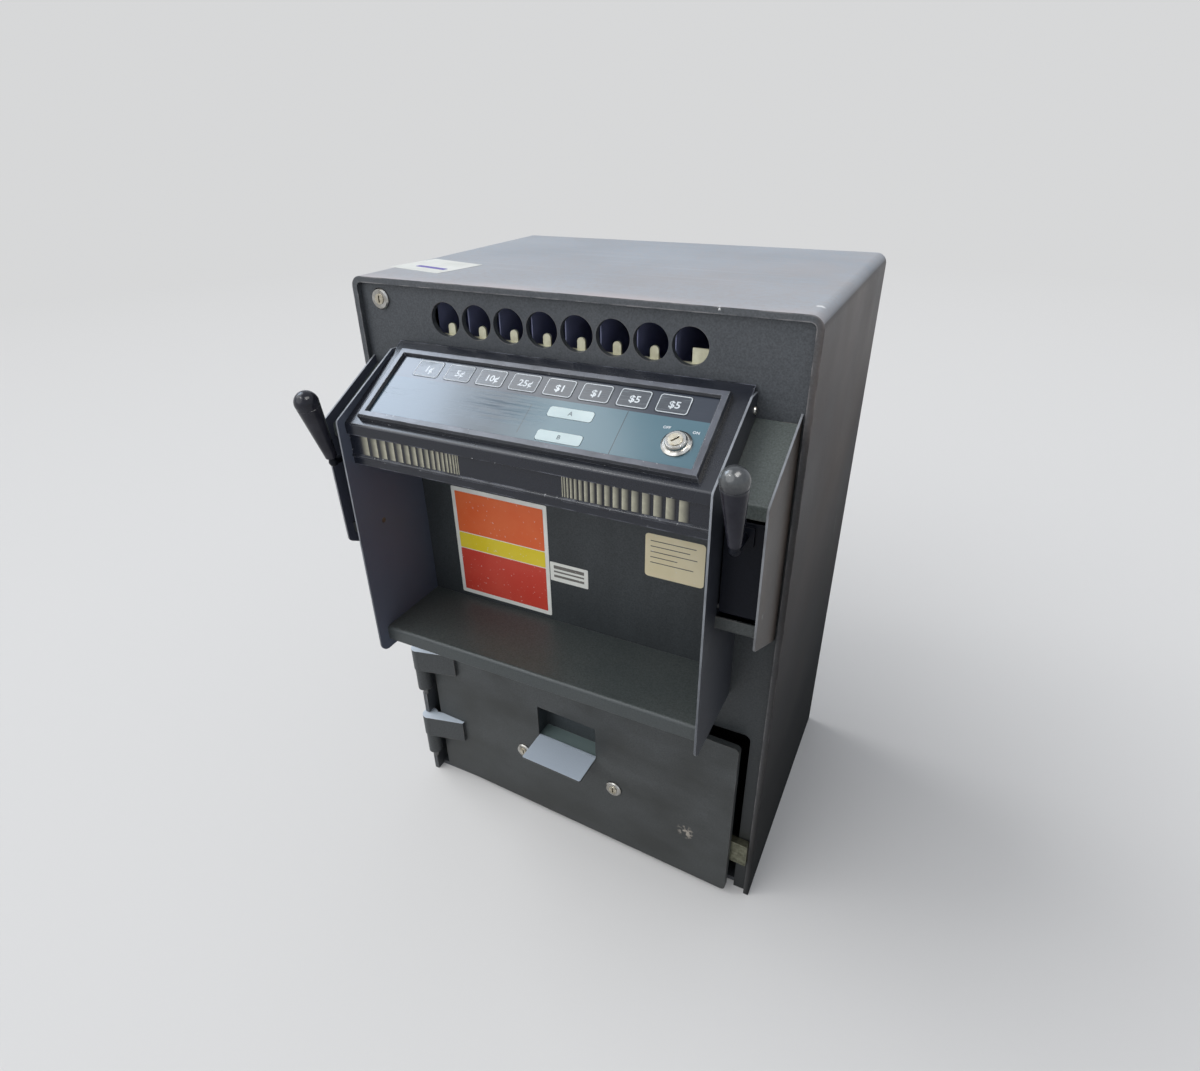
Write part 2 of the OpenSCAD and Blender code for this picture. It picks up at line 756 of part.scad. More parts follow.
// Turning plug of the key switch with its key slot and a lever at its lower end.
module switch_plug() color(nickel) on_pad() translate([switch_u, switch_v, 0]) {
    difference() {
        translate([0, 0, -switch_depth - past])
            cylinder(r = switch_plug_r, h = switch_depth + past + collar_h + plug_proud);
        rotate([0, 0, 45]) translate([-switch_slot_l / 2, -slot_w / 2, collar_h + plug_proud - slot_d])
            cube([switch_slot_l, slot_w, slot_d + past]);
    }
    translate([-lever_w / 2, -lever_l, -switch_depth - past - tail_t])
        cube([lever_w, lever_l + switch_plug_r, tail_t]);
}

// Outer cheek beside a drop.
module outer_cheek(side) color(steel) on_side(side) difference() {
    along_x(outer_in, outer_x) round_outline(
        [[panel_setback, outer_low], [panel_setback, outer_top],
         [-outer_reach, outer_knee], [-outer_reach + outer_taper, outer_foot]],
        [0, 0, outer_knee_r, outer_foot_r]);
    shaft_x(pivot_y, pivot_z, pivot_r + run_gap, outer_in - past, outer_x + past);
}

// Sloped cover over a drop, with a turned-down lip.
module drop_cover(side) color(steel) on_side(side) along_x(cheek_x, outer_in)
    bent_sheet(-drop_reach, cover_low, cover_knee, panel_setback, cover_top, sheet_t, cover_bend_r);

// Sloped floor under a drop, with an upright ledge along its front.
module drop_floor(side) color(steel) on_side(side) along_x(cheek_x, outer_in)
    bent_sheet(-drop_reach, ledge_top, ledge_low, panel_setback, floor_low, sheet_t, cover_bend_r);

// Rods that the hoppers turn on, one through the cheeks of each drop.
module hopper_pivots() color(nickel) for (side = [-1, 1]) on_side(side)
    shaft_x(pivot_y, pivot_z, pivot_r, cheek_in, outer_x);

// Tipping hopper: front plate with its arm, barrel, shelf that falls to the back, and two wings.
module hopper(side) color(black) on_side(side) {
    x0 = drop_mid - hopper_w / 2;
    x1 = drop_mid + hopper_w / 2;
    low_z = pivot_z - hopper_skirt;
    difference() {
        union() {
            translate([x0, hopper_face_y, low_z]) cube([hopper_w, hopper_t, hopper_l]);
            shaft_x(pivot_y, pivot_z, barrel_r, x0, x1);
            along_x(x0, x1) translate([pivot_y, pivot_z]) rotate(-shelf_fall)
                translate([0, -barrel_r]) square([shelf_l, hopper_t]);
            for (x = [x0, x1 - wing_t]) along_x(x, x + wing_t) polygon([
                [hopper_face_y + hopper_t / 2, low_z], [hopper_face_y + hopper_t / 2, low_z + hopper_l],
                [hopper_face_y + hopper_t + wing_top, low_z + hopper_l],
                [pivot_y + shelf_l * cos(shelf_fall) - wing_edge,
                 pivot_z - shelf_l * sin(shelf_fall) - wing_edge],
                [pivot_y, pivot_z - 0.8 * barrel_r]]);
            hopper_arm();
        }
        shaft_x(pivot_y, pivot_z, pivot_r + run_gap, x0 - past, x1 + past);
    }
}

// Bent rod welded to the hopper's face, with its foot plate, which carries the grip.
module hopper_arm() {
    translate([drop_mid - foot_w / 2, hopper_face_y - foot_t, arm_z - foot_h / 2])
        cube([foot_w, foot_t, foot_h]);
    shaft_y(drop_mid, arm_z, arm_r, arm_y, hopper_face_y - foot_t / 2);
    translate([drop_mid, arm_y, arm_z]) {
        sphere(arm_knuckle_r);
        rotate([grip_lean, 0, 0]) cylinder(r = arm_r, h = arm_up);
    }
}

// Black grip that widens to a ball end, with a fine groove below the ball.
module grip(side) color(black) on_side(side)
    translate([drop_mid, arm_y, arm_z]) rotate([grip_lean, 0, 0]) rotate_extrude() difference() {
        ball_h = grip_start + grip_l;
        groove_h = ball_h - 9 * grip_groove;
        union() {
            polygon([
                [0, grip_start], [grip_neck_d / 2 - grip_round, grip_start],
                [grip_neck_d / 2, grip_start + grip_round],
                [grip_d / 2 - grip_groove, groove_h - grip_groove], [grip_d / 2 - 2 * grip_groove, groove_h],
                [grip_d / 2 - grip_groove, groove_h + grip_groove], [grip_d / 2, ball_h], [0, ball_h]]);
            intersection() {
                translate([0, ball_h]) circle(d = grip_d);
                translate([0, ball_h]) square(grip_d);
            }
        }
        translate([-past, 0]) square([arm_r + past + run_gap, arm_up + run_gap]);
    }

// Round-head screws that hold the console to the inner cheeks.
module cheek_screws() color(nickel) for (side = [-1, 1]) on_side(side)
    translate([cheek_x, cheek_flat_y + screw_in, cheek_flat_z - screw_drop]) rotate([0, 90, 0])
        rotate_extrude() polygon([
            [0, 0], [screw_r, 0], [0.9 * screw_r, 0.35 * screw_r], [0.5 * screw_r, 0.57 * screw_r],
            [0, 0.62 * screw_r]]);

// Hinge knuckles set into the notches of the left side.
module hinge_knuckles() color(steel) placed() for (z = strap_zs) difference() {
    translate([0, 0, z - knuckle_h]) union() {
        translate([hinge_x, 0, 0]) cylinder(r = knuckle_r, h = knuckle_h - knuckle_gap);
        translate([-body_w / 2, 0, 0]) cube([plate_t, notch_d, knuckle_h - knuckle_gap]);
    }
    translate([hinge_x, 0, z - knuckle_h - past]) cylinder(r = pin_r + run_gap, h = knuckle_h + 2 * past);
}

// Hinge pins, which stand out below the knuckles and end inside the eyes.
module hinge_pins() color(bare) placed() for (z = strap_zs)
    translate([hinge_x, 0, z - knuckle_h - pin_tail + notch_gap]) {
        pin_l = knuckle_h + pin_tail + strap_h - eye_cap - 5 * pin_point;
        cylinder(r = pin_r, h = pin_l);
        translate([0, 0, pin_l]) cylinder(r1 = pin_r, r2 = pin_r - pin_point, h = pin_point);
    }

// Hinge straps: an eye on the pin and a tail that tapers onto the door's face.
module hinge_straps() color(steel) door_swung() for (z = strap_zs) translate([hinge_x, 0, z]) difference() {
    linear_extrude(strap_h) {
        circle(eye_r);
        polygon([[0.09 * eye_r, -0.995 * eye_r], [strap_l, door_y - strap_t], [strap_l, door_y],
                 [hinge_gap + skin_t, door_y], [0.72 * eye_r, 0.68 * eye_r]]);
    }
    translate([0, 0, -past]) cylinder(r = pin_r + run_gap, h = strap_h - eye_cap + past);
}

// Door skin: a shallow folded pan with the pull opening and the lip bent out of it.
module door_skin() color(steel) door_swung() difference() {
    union() {
        along_y(door_y, door_y + door_fold) difference() {
            translate([door_left, door_low]) round_rect(door_w, door_h, door_r);
            pull_cut(0);
            lock_holes();
        }
        translate([pull_mid - pull_w / 2, door_y + skin_t, pull_low])
            rotate([lip_droop, 0, 0]) translate([0, -lip_l - skin_t, -skin_t])
                linear_extrude(skin_t) round_rect(pull_w, lip_l + skin_t, lip_r);
    }
    along_y(door_y + skin_t, door_y + door_fold + past)
        translate([door_left + skin_t, door_low + skin_t])
            round_rect(door_w - 2 * skin_t, door_h - 2 * skin_t, door_r - skin_t);
}

// Outline of the pull opening in the door, grown on every side.
module pull_cut(grow) translate([pull_mid - pull_w / 2 - grow, pull_low - grow])
    square([pull_w + 2 * grow, pull_h + 2 * grow]);

// Outlines of the two lock holes in the door, on either side of the pull.
module lock_holes() for (x = lock_xs) translate([x, lock_z]) circle(lock_barrel_r + seat_gap);

// Stiffening plate inside the door skin.
module door_backer() color(bare) door_swung() along_y(backer_y, backer_y + backer_t) difference() {
    translate([door_left + skin_t + backer_side, door_low + skin_t + backer_end])
        square([door_w - 2 * (skin_t + backer_side), door_h - 2 * (skin_t + backer_end)]);
    pull_cut(pan_side + side_gap);
    lock_holes();
}

// Recess behind the pull opening.
module pull_pan() color(black) door_swung() difference() {
    along_y(backer_y, backer_y + pan_d) pull_cut(pan_side);
    along_y(backer_y - past, backer_y + pan_d - pan_t) pull_cut(pan_side - pan_t);
}

// Guides that hold the bolt against the backer.
module bolt_guides() color(bare) door_swung() for (x = guide_xs) difference() {
    translate([x, backer_y + backer_t, bolt_low - guide_edge])
        cube([guide_w, bolt_t + guide_t, bolt_h + 2 * guide_edge]);
    translate([x - past, backer_y + backer_t - past, bolt_low - side_gap])
        cube([guide_w + 2 * past, bolt_gap + bolt_t + side_gap + past, bolt_h + 2 * side_gap]);
}

// Bolt, thrown past the door's edge, with the notch for the lock's drive pin.
module door_bolt() color(zinc) door_swung() difference() {
    along_y(bolt_y, bolt_y + bolt_t)
        translate([bolt_start, bolt_low]) round_rect(bolt_end - bolt_start, bolt_h, bolt_r);
    translate([lock_xs[1] - drive_room - drive_lag, bolt_y - past, lock_z - tail_r - drive_room])
        cube([2 * drive_room + drive_lag, bolt_t + 2 * past, bolt_h]);
}

// Lock body with its round face in front of the plate, drawn along Y from the face at y = 0.
module lock_body() rotate([-90, 0, 0]) rotate_extrude() polygon([
    [plug_r + run_gap, -lock_face_t], [lock_face_d / 2 - lock_face_bevel, -lock_face_t],
    [lock_face_d / 2, lock_face_bevel - lock_face_t], [lock_face_d / 2, 0], [lock_barrel_r, 0],
    [lock_barrel_r, lock_barrel_l], [plug_r + run_gap, lock_barrel_l]]);

// Turning plug of a lock with its key slot and its tail behind the body.
module lock_plug(tail_l) {
    difference() {
        shaft_y(0, 0, plug_r, -lock_face_t - plug_proud, tail_y);
        translate([-slot_w / 2, -lock_face_t - plug_proud - past, -slot_l / 2])
            cube([slot_w, slot_d + past, slot_l]);
    }
    along_y(tail_y, tail_y + tail_t)
        translate([-tail_w / 2, -tail_l]) round_rect(tail_w, tail_l + tail_w / 2, 0.49 * tail_w);
}

// Bodies of the two door locks.
module door_locks() color(nickel) door_swung() for (x = lock_xs) translate([x, door_y, lock_z]) lock_body();

// Plug of the left door lock.
module left_lock_plug() color(nickel) door_swung()
    translate([lock_xs[0], door_y, lock_z]) lock_plug(tail_r + tail_end);

// Plug of the right door lock, whose drive pin draws the bolt.
module right_lock_plug() color(nickel) door_swung() translate([lock_xs[1], door_y, lock_z]) {
    lock_plug(tail_r + tail_end);
    shaft_y(0, -tail_r, drive_r, bolt_y + drive_inset - door_y, tail_y + tail_t);
}

// Lock at the top left of the panel.
module top_lock() color(nickel) placed() translate([top_lock_x, panel_setback, top_lock_z]) lock_body();

// Plug of the top lock with its cam.
module top_lock_plug() color(nickel) placed()
    translate([top_lock_x, panel_setback, top_lock_z]) lock_plug(top_tail_l);

cabinet_wrap();
back_plate();
bottom_plate();
tube_panel();
front_panel();
jamb_strip();
vault_ceiling();
cord_bushing();
tube_magazine();
tube_dividers();
tube_comb();
drop_ducts();
inner_cheek(-1);  // inner_cheek_left
inner_cheek(1);  // inner_cheek_right
tray_shelf();
console_lid();
fascia();
keypad_frame();
keypad_base();
keypad_overlay();
controller_box();
switch_body();
switch_plug();
outer_cheek(-1);  // outer_cheek_left
outer_cheek(1);  // outer_cheek_right
drop_cover(-1);  // drop_cover_left
drop_cover(1);  // drop_cover_right
drop_floor(-1);  // drop_floor_left
drop_floor(1);  // drop_floor_right
hopper_pivots();
cheek_screws();
hopper(-1);  // hopper_left
hopper(1);  // hopper_right
grip(-1);  // grip_left
grip(1);  // grip_right
hinge_knuckles();
hinge_pins();
hinge_straps();
door_skin();
door_backer();
pull_pan();
bolt_guides();
door_bolt();
door_locks();
left_lock_plug();
right_lock_plug();
top_lock();
top_lock_plug();
for (i = [1 : tube_count]) value_key(i - 1);
wide_key(0);  // key_wide_1
wide_key(1);  // key_wide_2
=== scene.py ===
import json
import math

import bmesh
import bpy
from mathutils import Matrix, Vector


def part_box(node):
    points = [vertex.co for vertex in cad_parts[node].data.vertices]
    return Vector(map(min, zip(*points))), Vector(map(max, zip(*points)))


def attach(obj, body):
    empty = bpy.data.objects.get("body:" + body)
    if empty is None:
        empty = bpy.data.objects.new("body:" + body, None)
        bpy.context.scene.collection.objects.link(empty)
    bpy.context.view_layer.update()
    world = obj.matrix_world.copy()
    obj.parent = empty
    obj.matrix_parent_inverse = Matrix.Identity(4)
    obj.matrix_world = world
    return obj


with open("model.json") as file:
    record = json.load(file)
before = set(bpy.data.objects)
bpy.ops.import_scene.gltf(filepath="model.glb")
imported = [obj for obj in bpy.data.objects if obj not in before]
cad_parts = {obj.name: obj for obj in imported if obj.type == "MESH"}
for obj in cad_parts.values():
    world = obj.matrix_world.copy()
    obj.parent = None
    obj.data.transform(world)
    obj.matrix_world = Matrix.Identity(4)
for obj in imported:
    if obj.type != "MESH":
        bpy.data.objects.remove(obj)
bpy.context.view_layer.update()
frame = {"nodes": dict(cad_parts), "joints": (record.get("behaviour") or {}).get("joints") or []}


# Camera: a wide lens close to the right front of the safe and a little above it, which gives
# the strong perspective of the photograph.
camera_data = bpy.data.cameras.new("camera")
camera_data.sensor_width = 36.0
camera_data.lens = 21.70
camera = bpy.data.objects.new("camera", camera_data)
camera.location = (0.3482, -0.7783, 0.8561)
camera.rotation_euler = [math.radians(turn) for turn in (60.746, 0.800, 26.434)]
bpy.context.scene.collection.objects.link(camera)
bpy.context.scene.camera = camera


# Studio: a pale floor that runs out of sight into a pale surround. Two wide soft suns stand
# for the light of the room, and four lamps show only in glossy surfaces.
def link_object(name, data):
    """An object at the origin, for data whose place is already in its points."""
    made = bpy.data.objects.new(name, data)
    bpy.context.scene.collection.objects.link(made)
    return made


def start_finish(name):
    """A new material with nothing in its tree but the Principled shader and its output."""
    finish = bpy.data.materials.new(name)
    finish.use_nodes = True
    return finish, finish.node_tree, finish.node_tree.nodes["Principled BSDF"]


def fill_sockets(tree, sockets):
    """Sets or links each socket in a list of (socket, value or other socket) pairs."""
    for socket, value in sockets:
        if isinstance(value, bpy.types.NodeSocket):
            tree.links.new(value, socket)
        else:
            socket.default_value = value


def add_node(tree, kind, inputs=None, **settings):
    """A node with its settings, and its inputs set or linked by name or number."""
    made = tree.nodes.new(kind)
    for key, value in settings.items():
        setattr(made, key, value)
    fill_sockets(tree, [(made.inputs[key], value) for key, value in (inputs or {}).items()])
    return made


def combine(tree, operation, first, second):
    """A Math node on two values or sockets."""
    return add_node(tree, "ShaderNodeMath", {0: first, 1: second}, operation=operation).outputs["Value"]


def spread(tree, value, low, high, to_low=0.0, to_high=1.0):
    """A value from low to high brought to another range and held inside it."""
    return add_node(tree, "ShaderNodeMapRange", {
        "Value": value, "From Min": low, "From Max": high,
        "To Min": to_low, "To Max": to_high}).outputs["Result"]


def mix_color(tree, share, low, high):
    """The low colour where the share is 0, and the high one where it is 1."""
    made = add_node(tree, "ShaderNodeMix", data_type="RGBA")
    fill_sockets(tree, [(made.inputs[0], share), (made.inputs[6], low), (made.inputs[7], high)])
    return made.outputs[2]


def object_point(tree):
    """Place on the object, in metres."""
    return add_node(tree, "ShaderNodeTexCoord").outputs["Object"]


backdrop_tone = (0.985, 0.992, 1.0, 1)
backdrop_level = 0.69
room_tone = (0.93, 0.985, 1.07, 1)
room_level = 0.40
glossy_level = 0.90

floor_tone = (0.795, 0.778, 0.762, 1)
floor_own_light = 0.08
fade_start = 1.2
fade_end = 5.0
floor_half = 60.0
floor_corners = [(sx * floor_half, sy * floor_half, 0) for sx, sy in ((-1, -1), (1, -1), (1, 1), (-1, 1))]

floor_mesh = bpy.data.meshes.new("floor")
floor_mesh.from_pydata(floor_corners, [], [(0, 1, 2, 3)])
floor = link_object("floor", floor_mesh)
floor_paint, tree, shader = start_finish("floor_paint")
shader.inputs["Base Color"].default_value = floor_tone
shader.inputs["Roughness"].default_value = 0.8
shader.inputs["Specular IOR Level"].default_value = 0.1
ray = add_node(tree, "ShaderNodeLightPath").outputs
seen = combine(tree, "MAXIMUM", ray["Is Camera Ray"], ray["Is Glossy Ray"])
away = add_node(tree, "ShaderNodeVectorMath", {0: object_point(tree)}, operation="LENGTH").outputs["Value"]
own_light = spread(tree, away, fade_start, fade_end, floor_own_light, 1.0)
glow = add_node(tree, "ShaderNodeEmission", {"Color": backdrop_tone, "Strength": backdrop_level})
floor_mix = add_node(tree, "ShaderNodeMixShader", {
    0: combine(tree, "MULTIPLY", seen, own_light), 1: shader.outputs["BSDF"], 2: glow.outputs["Emission"]})
tree.links.new(floor_mix.outputs["Shader"], tree.nodes["Material Output"].inputs["Surface"])
floor_mesh.materials.append(floor_paint)

world = bpy.data.worlds.new("surround")
bpy.context.scene.world = world
world.use_nodes = True
tree = world.node_tree
ray = add_node(tree, "ShaderNodeLightPath").outputs
object_level = spread(tree, ray["Is Glossy Ray"], 0.0, 1.0, room_level, glossy_level)
level = add_node(tree, "ShaderNodeMix", {0: ray["Is Camera Ray"], 2: object_level, 3: backdrop_level})
fill_sockets(tree, [
    (tree.nodes["Background"].inputs["Color"],
     mix_color(tree, ray["Is Camera Ray"], room_tone, backdrop_tone)),
    (tree.nodes["Background"].inputs["Strength"], level.outputs[0])])
bpy.context.scene.view_settings.view_transform = "Standard"


def add_lamp(name, kind, place, target, power, tint, **settings):
    """A lamp at a place, aimed at a target. The camera doesn't see it."""
    lamp = bpy.data.lights.new(name, kind)
    lamp.energy = power
    lamp.color = tint
    for key, value in settings.items():
        setattr(lamp, key, value)
    made = link_object(name, lamp)
    made.location = place
    made.rotation_euler = (Vector(target) - Vector(place)).to_track_quat("-Z", "Y").to_euler()
    made.visible_camera = False
    return made


console_middle = (0.0, -0.25, 0.6)
for name, place, power, tint, width, depth in (
        ("soft_box", (-1.85, 0.0, 2.2), 14.5, (0.62, 0.78, 1.0), 0.9, 1.0),
        ("ceiling_lamp", (0.75, -0.6, 2.3), 22.0, (1.0, 0.98, 0.95), 1.2, 0.7),
        ("left_tube", (-0.75, -1.25, 2.1), 4.5, (1.0, 1.0, 1.0), 0.45, 0.06),
        ("right_tube", (0.95, -1.15, 2.2), 4.5, (1.0, 1.0, 1.0), 0.45, 0.06)):
    gloss_lamp = add_lamp(name, "AREA", place, console_middle, power, tint,
                          shape="RECTANGLE", size=width, size_y=depth)
    gloss_lamp.visible_diffuse = False
for name, place, power, tint, angle in (
        ("left_sun", (-0.95, -0.1, 1.0), 1.35, (0.97, 0.99, 1.0), 45),
        ("front_sun", (-0.6, -1.0, 0.8), 1.4, (0.985, 0.995, 1.0), 60)):
    add_lamp(name, "SUN", place, (0, 0, 0), power, tint, angle=math.radians(angle))


# Cabinet shell: heavy plate, bent and welded, in a charcoal paint with a fine pebbled grain.
# Its top is rubbed and carries a painted sheen, paler towards the front; its right side is
# brownish with painted shade towards the floor; the shell is darker towards the bottom, and its
# edges are worn to a paler tone.
def noise(tree, point, scale, detail=4.0, stretch=None):
    """Value of a noise pattern, drawn out along the axes by the stretch."""
    if stretch:
        point = add_node(tree, "ShaderNodeMapping", {"Vector": point, "Scale": stretch}).outputs["Vector"]
    return add_node(tree, "ShaderNodeTexNoise", {
        "Vector": point, "Scale": scale, "Detail": detail}).outputs["Fac"]


def times(tree, product, *others):
    """Product of several values or sockets."""
    for other in others:
        product = combine(tree, "MULTIPLY", product, other)
    return product


def split(tree, vector):
    """The X, Y and Z of a vector, by name."""
    return add_node(tree, "ShaderNodeSeparateXYZ", {"Vector": vector}).outputs


def distance(tree, point, place):
    """How far a point is from a place."""
    return add_node(tree, "ShaderNodeVectorMath", {0: point, 1: place}, operation="DISTANCE").outputs["Value"]


def true_normal(tree):
    """Direction of the flat face, without any bump."""
    return add_node(tree, "ShaderNodeNewGeometry").outputs["True Normal"]


def facing(tree, axis, both_ways=False):
    """1 on faces that look along an axis, or both ways along it, and 0 on the others."""
    along = split(tree, true_normal(tree))[axis]
    if both_ways:
        along = combine(tree, "ABSOLUTE", along, 0.0)
    return spread(tree, along, 0.35, 0.75)


def edge_mask(tree, reach):
    """1 along sharp edges, 0 on flat faces."""
    rounded = add_node(tree, "ShaderNodeBevel", {"Radius": reach}, samples=6).outputs["Normal"]
    flat = add_node(tree, "ShaderNodeNewGeometry").outputs["Normal"]
    same = add_node(tree, "ShaderNodeVectorMath", {0: rounded, 1: flat}, operation="DOT_PRODUCT")
    return spread(tree, same.outputs["Value"], 0.995, 0.80)


def grain_normal(tree, height, depth, round_edges=0.0008):
    """Normal of a raised grain over edges that look slightly rounded."""
    rounded = add_node(tree, "ShaderNodeBevel", {"Radius": round_edges}, samples=4).outputs["Normal"]
    return add_node(tree, "ShaderNodeBump", {
        "Strength": 0.55, "Distance": depth, "Height": height, "Normal": rounded}).outputs["Normal"]


def worn_paint(name, tone, paler_tone, bare, roughness, wear,
               edge_reach=0.0022, grain=620.0, depth=0.00035, shine=0.35):
    """Grained enamel with faint clouds of dust, and edges worn to a paler tone."""
    finish, tree, shader = start_finish(name)
    point = object_point(tree)
    clouds = noise(tree, point, 7.0, 5.0)
    flecks = spread(tree, noise(tree, point, 45.0, 9.0), 0.42, 0.58)
    pebbles = noise(tree, point, grain, 3.0)
    color = mix_color(tree, spread(tree, clouds, 0.40, 0.72, 0.0, 0.6), tone, paler_tone)
    color = add_node(tree, "ShaderNodeHueSaturation", {
        "Color": color, "Value": spread(tree, pebbles, 0.3, 0.7, 0.76, 1.24)}).outputs["Color"]
    color = mix_color(tree, times(tree, edge_mask(tree, edge_reach), flecks, wear), color, bare)
    fill_sockets(tree, [
        (shader.inputs["Base Color"], color),
        (shader.inputs["Roughness"], spread(tree, clouds, 0.3, 0.7, roughness - 0.05, roughness + 0.08)),
        (shader.inputs["Normal"], grain_normal(tree, pebbles, depth)),
        (shader.inputs["Specular IOR Level"], shine)])
    return finish, tree, shader, point


def repaint(tree, shader, share, tone):
    """Lays another tone over the colour that the shader already has."""
    under = shader.inputs["Base Color"].links[0].from_socket
    tree.links.new(mix_color(tree, share, under, tone), shader.inputs["Base Color"])


def smear(tree, shader, point, stretch, amount, tone):
    """Faint streaks of another tone, drawn out by the stretch."""
    streaks = noise(tree, point, 1.0, 5.0, stretch)
    repaint(tree, shader, spread(tree, streaks, 0.42, 0.66, 0.0, amount), tone)


def give(finish, *nodes):
    """Puts one finish on whole CAD nodes."""
    for name in nodes:
        mesh = frame["nodes"][name].data
        mesh.materials.clear()
        mesh.materials.append(finish)


charcoal = (0.066, 0.072, 0.080, 1)
charcoal_dust = (0.088, 0.092, 0.098, 1)
charcoal_worn = (0.25, 0.22, 0.20, 1)
low_charcoal = (0.036, 0.041, 0.044, 1)
low_dust = (0.050, 0.056, 0.060, 1)
wrap_worn = (0.42, 0.40, 0.40, 1)
side_brown = (0.112, 0.093, 0.084, 1)
grime_and_shade_dark = (0.016, 0.018, 0.019, 1)
side_scratch = (0.24, 0.22, 0.20, 1)
top_sheen = (0.31, 0.35, 0.40, 1)
front_top_sheen = (0.385, 0.395, 0.420, 1)
top_brown = (0.33, 0.29, 0.28, 1)
top_scratch = (0.44, 0.46, 0.49, 1)
edge_stain_and_sheen = (0.52, 0.44, 0.43, 1)
chip_white = (0.80, 0.80, 0.80, 1)

wrap_low, wrap_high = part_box("cabinet_wrap")
side_blend = 0.010
skin = 0.001
side_shade_top = 0.72
side_shade_full = 0.15
foot_top = 0.20
front_sheen_back = 0.06
stain_reach = 0.024
chip_ragged = 0.0015
wrap_paint, tree, shader, point = worn_paint(
    "wrap_paint", charcoal, charcoal_dust, wrap_worn, roughness=0.36, wear=0.62, edge_reach=0.0028)

on_wrap = split(tree, point)
on_right = spread(tree, on_wrap["X"], wrap_high.x - side_blend, wrap_high.x - skin)
near_floor = spread(tree, on_wrap["Z"], side_shade_top, side_shade_full)
haze = spread(tree, noise(tree, point, 5.0, 6.0), 0.30, 0.70, 0.35, 0.95)
strokes = spread(tree, noise(tree, point, 1.0, 5.0, stretch=(10.0, 95.0, 6.0)), 0.68, 0.70)
patches = spread(tree, noise(tree, point, 9.0), 0.55, 0.60)
repaint(tree, shader, times(tree, on_right, haze), side_brown)
repaint(tree, shader, times(tree, on_right, strokes, patches, 0.6), side_scratch)
# Painted shade: the right side goes dark towards the floor, standing in for the dark floor it reflects.
repaint(tree, shader, times(tree, on_right, near_floor, 0.85), grime_and_shade_dark)
# Darker towards the bottom all round.
repaint(tree, shader, spread(tree, on_wrap["Z"], foot_top, 0.0, 0.0, 0.6), grime_and_shade_dark)

on_top = facing(tree, "Z")
blots = noise(tree, point, 16.0, 5.0)
browned = times(tree, spread(tree, noise(tree, point, 3.5, 6.0), 0.42, 0.62), spread(tree, blots, 0.3, 0.7))
rubs = spread(tree, noise(tree, point, 1.0, 5.0, stretch=(5.0, 260.0, 1.0)), 0.60, 0.68, 0.0, 0.35)
front_half = spread(tree, on_wrap["Y"], front_sheen_back, wrap_low.y, 0.0, 0.8)
near_front = spread(tree, on_wrap["Y"], wrap_low.y + stain_reach, wrap_low.y + skin)
stained = spread(tree, blots, 0.40, 0.62, 0.2, 0.8)
specks = spread(tree, noise(tree, point, 210.0, 4.0), 0.46, 0.68, 0.0, 0.55)
# Painted sheen: the upward faces are painted paler and bluer, more so towards the front, for light glancing
# off the top.
repaint(tree, shader, times(tree, on_top, 0.8), top_sheen)
repaint(tree, shader, times(tree, on_top, front_half), front_top_sheen)
repaint(tree, shader, times(tree, on_top, browned, 0.65), top_brown)
repaint(tree, shader, times(tree, on_top, specks), top_brown)
repaint(tree, shader, times(tree, on_top, rubs), top_scratch)
# A stain along the top front edge, made paler as a painted sheen on the rounded edge.
repaint(tree, shader, times(tree, on_top, near_front, stained), edge_stain_and_sheen)
for from_right, from_front, chip_r in ((0.0112, 0.033, 0.0042), (0.088, 0.0013, 0.0017)):
    chip = (wrap_high.x - from_right, wrap_low.y + from_front, wrap_high.z - skin)
    ragged = spread(tree, noise(tree, point, 320.0), 0.3, 0.7, -chip_ragged, chip_ragged)
    from_chip = combine(tree, "ADD", distance(tree, point, chip), ragged)
    repaint(tree, shader, spread(tree, from_chip, chip_r, chip_r * 0.6), chip_white)

smooth = shader.inputs["Roughness"].links[0].from_socket
fill_sockets(tree, [
    (shader.inputs["Roughness"], combine(tree, "ADD", smooth, times(tree, on_right, near_floor, 0.62))),
    (shader.inputs["Specular IOR Level"], spread(tree, on_right, 0.0, 1.0, 0.5, 0.05))])
give(wrap_paint, "cabinet_wrap")

panel_paint = worn_paint("panel_paint", charcoal, charcoal_dust, charcoal_worn,
                         roughness=0.40, wear=0.35, edge_reach=0.0015)[0]
give(panel_paint, "back_plate", "bottom_plate", "tube_panel")
low_paint, tree, shader, point = worn_paint(
    "low_paint", low_charcoal, low_dust, charcoal_worn, roughness=0.42, wear=0.35, edge_reach=0.0015)
smear(tree, shader, point, stretch=(24.0, 1.0, 8.0), amount=0.3, tone=grime_and_shade_dark)
# The front panel and jamb are darker towards the bottom.
front_dark_top = 0.36
front_dark_full = 0.12
low_down = spread(tree, split(tree, point)["Z"], front_dark_top, front_dark_full, 0.0, 0.92)
repaint(tree, shader, low_down, grime_and_shade_dark)
give(low_paint, "front_panel", "jamb_strip")


# Tube columns: blue zinc-plated sheet in the dark behind the holes, screwed to the panel, and
# a moulded cream comb with one springy finger for each hole. Plain sheet closes the inside.
def mottled(name, clean, marked, scale, smooth, rough, stretch=None):
    """A finish that goes in clouds from a clean tone to a marked and rougher one."""
    finish, tree, shader = start_finish(name)
    clouds = noise(tree, object_point(tree), scale, 5.0, stretch)
    fill_sockets(tree, [
        (shader.inputs["Base Color"], mix_color(tree, spread(tree, clouds, 0.36, 0.70), clean, marked)),
        (shader.inputs["Roughness"], spread(tree, clouds, 0.3, 0.7, smooth, rough))])
    return finish, tree, shader, clouds


